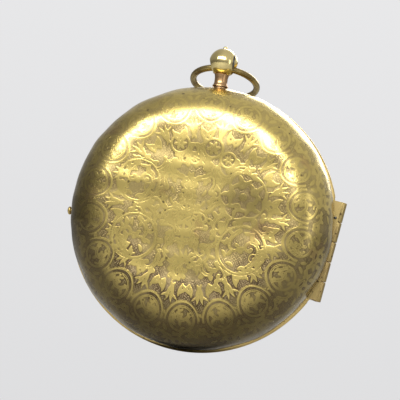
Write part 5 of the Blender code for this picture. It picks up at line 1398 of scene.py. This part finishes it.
@dataclass
class PendantAndBow:
    """The neck and ball with the saw cut, and the bow through it."""

    depth: float = 8.0
    ball: float = 2.97
    ball_place: float = 32.4
    neck: float = 1.5
    drop: float = 1.1
    bow_radius: float = 6.7
    wire: float = 0.67
    fit: float = 0.33
    kerf: Point2 = (2.15, 2.45)

    @property
    def pivot(self) -> Vector:
        """The middle of the cross hole, in metres."""
        return Vector((0, self.depth, self.ball_place - self.drop)) * MM

    def pendant(self) -> None:
        """The neck and ball, turned, cross drilled and sawn, with painted shade deep in the saw cut."""
        centre, top = (self.depth, self.ball_place), self.ball_place
        low = top - math.sqrt(self.ball**2 - self.neck**2)
        start = -math.degrees(math.acos(self.neck / self.ball))
        section = [
            *((0, 24.4), (0.6, 24.4), (0.6, 25.3), (1.3, 25.3), (1.3, 27.15), (1.62, 27.3), (1.62, 27.5)),
            *((1.42, 27.75), (1.34, 28.3), (1.36, 29.2), (self.neck, low)),
            *arc((0, top), self.ball, self.ball, start, 81, 26)[1:],
            *((0.45, top + 3.2), (0.3, top + 3.38), (0, top + 3.45)),
        ]
        neck = spun("pendant_ball", section, 64, "z", (0, self.depth))
        cut(neck, self.bow_hole())
        near, far = self.kerf
        deep = math.sqrt(self.ball**2 - near**2) - 0.5
        cut(neck, spun("saw_cut", [(deep, near), (4, near), (4, far), (deep, far)], 48, "x", centre))
        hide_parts("pendant")
        dress(neck, Slot.ROSE_GILT, Body.CASES, PENDANT_GILT)
        # Black filler set deep in the saw cut, as painted shade.
        filled = [(-0.1, 2.16), (0.24, 2.16), (0.2, 2.3), (0.16, 2.44), (-0.1, 2.44)]
        kerf_shadow = spun("saw_cut_shadow", [(deep + rise, place) for rise, place in filled], 48, "x", centre)
        cut(kerf_shadow, self.bow_hole())
        dress(kerf_shadow, Slot.ROSE_GILT, Body.CASES, INK)

    def bow_hole(self) -> Piece:
        """The flared cross hole's tool.

        Returns:
            The tool, which the cut deletes.
        """
        half = self.ball + 0.5
        stations = np.linspace(-half, half, 17)
        sag = self.bow_radius - np.sqrt(self.bow_radius**2 - stations**2)
        flare = [(self.wire + self.fit + s, x) for s, x in zip(sag, stations)]
        centre = (self.depth, self.ball_place - self.drop)
        return spun("bow_hole", [(0, -half), *flare, (0, half)], 32, "x", centre)

    def bow(self) -> None:
        """The ring of round wire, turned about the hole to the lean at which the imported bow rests."""
        bpy.ops.mesh.primitive_torus_add(
            major_radius=self.bow_radius * MM,
            minor_radius=self.wire * MM,
            major_segments=96,
            minor_segments=20,
            rotation=(QUARTER, 0, 0),
        )
        ring = bpy.context.object
        ring.name = ring.data.name = "bow_wire"
        settle(ring)
        low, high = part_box("bow")
        middle = (low + high) / 2 - self.pivot
        lean = Matrix.Rotation(math.atan2(-middle.y, middle.z), 4, "X")
        rise = Matrix.Translation((0, 0, self.bow_radius * MM))
        ring.data.transform(Matrix.Translation(self.pivot) @ lean @ rise)
        tidy(ring)
        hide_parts("bow")
        dress(ring, Slot.GILT_CASE, Body.BOW, BOW_GILT)

    def build(self) -> None:
        """Builds the pendant and the bow."""
        self.pendant()
        self.bow()


@dataclass
class Face:
    """The enamel dial with its painted figures and minute track."""

    radius: float = 21.8
    back: float = 14.0
    thickness: float = 0.5
    crown: float = 0.4
    hole: float = 1.6
    paint: float = 0.025
    numeral_inner: float = 12.6
    numeral_height: float = 4.0
    stroke: float = 0.62
    hairline: float = 0.16
    serif: float = 0.42
    track: Point2 = (17.5, 18.4)
    track_line: float = 0.05
    hour_mark: float = 0.14
    minute_place: float = 19.8
    minute_size: float = 1.7

    def height(self, radius: float) -> float:
        """How far forward the enamel stands at a radius."""
        return self.back + self.thickness + self.crown * math.sqrt(max(1 - (radius / self.radius) ** 2, 0))

    def enamel(self) -> None:
        """The convex dial."""
        outside = arc((0, self.back + self.thickness), self.radius, self.crown, 0, 85.8, 24)
        section = [(self.hole, self.back), (self.radius - 0.1, self.back), (self.radius, self.back + 0.1)]
        section += [*outside[:-1], (self.hole, outside[-1][1])]
        piece = spun("enamel_dial", section, 128)
        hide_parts("dial")
        dress(piece, Slot.ENAMEL, Body.CASES)

    def painted(self, name: str, shapes: Sequence[Sequence[Point2]]) -> None:
        """Lays flat outlines on the enamel as thin raised paint.

        Args:
            name: the piece's name.
            shapes: outlines in millimetres, as seen from the front with 12 at the top.
        """
        points, faces = [], []
        for shape in shapes:
            start, count = len(points), len(shape)
            for lift in (-0.05, self.paint):
                faces.append(tuple(range(len(points), len(points) + count)))
                points += [(-x, self.height(math.hypot(x, y)) + lift, y) for x, y in shape]
            for corner in range(count):
                here, there = start + corner, start + (corner + 1) % count
                faces.append((here, there, there + count, here + count))
        dress(mesh_piece(name, np.array(points), faces), Slot.ENAMEL, Body.CASES, INK)

    def numeral(self, letters: str) -> list[list[Point2]]:
        """The strokes of a Roman numeral about x = 0, from 0 to its height.

        Args:
            letters: the numeral.

        Returns:
            The outline of each stroke.
        """
        widths = {"I": 1.05, "V": 2.3, "X": 2.3}
        high, thick, thin = self.numeral_height, self.stroke / 2, self.hairline
        across = -sum(widths[letter] for letter in letters) / 2
        strokes = []
        for letter in letters:
            left, right = across + 0.3, across + widths[letter] - 0.3
            middle = across + widths[letter] / 2
            legs = {
                "I": ((middle, middle, thick),),
                "V": ((middle, left, thick), (middle, right, thin)),
                "X": ((right, left, thick), (left, right, thin)),
            }[letter]
            for foot, head, half in legs:
                strokes.append([(foot - half, 0), (foot + half, 0), (head + half, high), (head - half, high)])
            for end, level in ((0, 0), (1, high - thin)):
                low = min(leg[end] for leg in legs) - self.serif
                top = max(leg[end] for leg in legs) + self.serif
                strokes.append([(low, level), (top, level), (top, level + thin), (low, level + thin)])
            across += widths[letter]
        return strokes

    def chapters(self) -> None:
        """Twelve Roman hours with their feet to the middle."""
        shapes = []
        for hour, letters in enumerate("XII I II III IIII V VI VII VIII IX X XI".split()):
            turn = math.radians(30 * hour)
            for stroke in self.numeral(letters):
                spread = []
                for x, y in stroke:
                    lean = turn + x / (self.numeral_inner + self.numeral_height / 2)
                    spread.append(around(ORIGIN, self.numeral_inner + y, QUARTER - lean))
                shapes.append(spread)
        self.painted("hour_numerals", shapes)

    def minute_track(self) -> None:
        """Two circles with the minute marks between them."""
        shapes = []
        for radius in self.track:
            inner, outer = radius - self.track_line, radius + self.track_line
            for step in range(120):
                first, second = (QUARTER - math.radians(3 * (step + side)) for side in (0, 1))
                corners = ((inner, first), (inner, second), (outer, second), (outer, first))
                shapes.append([around(ORIGIN, reach, turn) for reach, turn in corners])
        inner, outer = self.track
        for minute in range(60):
            turn = math.radians(6 * minute)
            half = self.hour_mark if minute % 5 == 0 else self.track_line
            sin, cos = math.sin(turn), math.cos(turn)
            corners = ((inner, -half), (outer, -half), (outer, half), (inner, half))
            shapes.append([(r * sin + s * cos, r * cos - s * sin) for r, s in corners])
        self.painted("minute_track", shapes)

    def minutes(self) -> None:
        """Arabic figures at every fifth minute, outside the track."""
        depth = (self.height(self.minute_place) + self.paint / 2) * MM
        stand = Matrix.Translation((0, depth, self.minute_place * MM))
        facing = Matrix.Rotation(math.pi, 4, "Z") @ Matrix.Rotation(QUARTER, 4, "X")
        for index in range(12):
            minute = index * 5 or 60
            bpy.ops.object.text_add()
            figure = bpy.context.object
            figure.data.body = str(minute)
            figure.data.align_x, figure.data.align_y = "CENTER", "CENTER"
            figure.data.size = self.minute_size * MM
            figure.data.extrude = self.paint * MM
            bpy.ops.object.convert(target="MESH")
            figure.name = figure.data.name = f"minute_figure_{minute}"
            figure.data.transform(Matrix.Rotation(-math.radians(30 * index), 4, "Y") @ stand @ facing)
            tidy(figure)
            dress(figure, Slot.ENAMEL, Body.CASES, INK)

    def build(self) -> None:
        """Builds the dial."""
        self.enamel()
        self.chapters()
        self.minute_track()
        self.minutes()


@dataclass
class Studio:
    """The floor, the lamps, the pale surroundings and the camera."""

    azimuth: float = 8.0
    elevation: float = -7.5
    roll: float = 8.12
    distance: float = 450.0
    field: float = 81.8
    sensor: float = 36.0
    aim_right: float = -0.36
    aim_up: float = 3.56
    aim_depth: float = 8.3
    lamps: tuple[tuple[str, Point3, Point2, float], ...] = (
        ("top_soft_box", (-80, -345, 235), (470, 110), 2.2),
        ("right_soft_box", (420, -260, 60), (120, 300), 0.25),
        ("dial_soft_box", (90, 400, 280), (300, 260), 1.2),
    )

    def camera(self) -> None:
        """The camera at the photograph's viewing angle."""
        bpy.ops.object.camera_add()
        camera = bpy.context.object
        camera.name = "photo_camera"
        turn, rise, roll = (math.radians(a) for a in (self.azimuth, self.elevation, self.roll))
        back = Vector((math.sin(turn) * math.cos(rise), -math.cos(turn) * math.cos(rise), math.sin(rise)))
        level = Vector((math.cos(turn), math.sin(turn), 0))
        upright = back.cross(level)
        right = level * math.cos(roll) + upright * math.sin(roll)
        up = upright * math.cos(roll) - level * math.sin(roll)
        target = Vector((0, self.aim_depth, 0)) + right * self.aim_right + up * self.aim_up
        axes = Matrix((right, up, back)).transposed().to_4x4()
        camera.matrix_world = Matrix.Translation((target + back * self.distance) * MM) @ axes
        camera.data.sensor_width = self.sensor
        camera.data.lens = self.sensor * self.distance / self.field
        camera.data.clip_start = 0.01
        bpy.context.scene.camera = camera

    def light(self) -> None:
        """The soft boxes, each aimed at the watch: its name, place, size and power in watts."""
        for name, place, size, power in self.lamps:
            bpy.ops.object.light_add(type="AREA", location=Vector(place) * MM)
            lamp = bpy.context.object
            lamp.name = name
            lamp.data.shape = "RECTANGLE"
            lamp.data.size, lamp.data.size_y = size[0] * MM, size[1] * MM
            lamp.data.energy = power
            lamp.rotation_euler = Vector(place).to_track_quat("Z", "Y").to_euler()

    def floor(self) -> None:
        """A pale floor that shows from above only, under the watch's lowest point."""
        bpy.ops.mesh.primitive_circle_add(vertices=96, radius=1.6, fill_type="NGON")
        floor = bpy.context.object
        floor.name = "floor"
        floor.location.z = cad_box[0][2] - 0.15 * MM
        settle(floor)
        material, tree, shader = new_material("pale_floor")
        tree.feed(shader, Base_Color=(0.52, 0.52, 0.51, 1.0), Roughness=0.5)
        underside = tree.add("NewGeometry").outputs["Backfacing"]
        clear, either = tree.add("BsdfTransparent"), tree.add("MixShader")
        for target, source in zip(either.inputs, (underside, shader.outputs[0], clear.outputs[0])):
            tree.put(target, source)
        tree.put(material.node_tree.nodes["Material Output"].inputs[0], either.outputs[0])
        floor.data.materials.append(material)

    def surroundings(self) -> None:
        """Pale surroundings, darker below and to one side where the metal and the glass reflect them."""
        world = bpy.data.worlds.new("studio")
        bpy.context.scene.world = world
        world.use_nodes = True
        tree = Tree(world.node_tree)
        x, _, z = tree.axes(tree.add("TexCoord").outputs["Generated"])
        aside = tree.times(tree.ramp(x, -0.9, 0.1), 0.5, 0.5)
        mirrored = tree.mix(tree.ramp(z, -0.30, 0.38), (0.05, 0.05, 0.052), (0.68, 0.68, 0.69))
        mirrored = tree.mix(1.0, mirrored, aside, "MULTIPLY")
        pale = tree.mix(tree.ramp(z, -0.3, 0.5), (0.66, 0.66, 0.67), (0.86, 0.86, 0.87))
        path = tree.add("LightPath")
        seen = tree.math("MAXIMUM", path.outputs["Is Camera Ray"], path.outputs["Is Transmission Ray"])
        shown = tree.mix(path.outputs["Is Glossy Ray"], (0.40, 0.40, 0.41), mirrored)
        tree.feed(world.node_tree.nodes["Background"], Color=tree.mix(seen, shown, pale))

    def build(self) -> None:
        """Builds the studio."""
        self.camera()
        self.floor()
        self.surroundings()
        self.light()


def dress_nodes() -> None:
    """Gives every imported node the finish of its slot."""
    slots = {row["node"]: row["material_slot"] for row in frame["record"]["subparts"]}
    for name, node in frame["nodes"].items():
        finish = HINGE_GILT if name == "outer_case_back" else FINISHES[Slot(slots[name])]
        coat(node, finish)
    LOG.info("%d packed nodes dressed", len(frame["nodes"]))


def main() -> None:
    """Builds the watch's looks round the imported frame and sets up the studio."""
    logging.basicConfig(level=logging.INFO, format="%(name)s: %(message)s")
    bpy.context.scene.view_settings.view_transform = "Standard"
    dress_nodes()
    for part in (OuterCase(), InnerCase(), PendantAndBow(), Face(), Studio()):
        part.build()
        LOG.info("%s built", type(part).__name__)


if __name__ == "__main__":
    main()
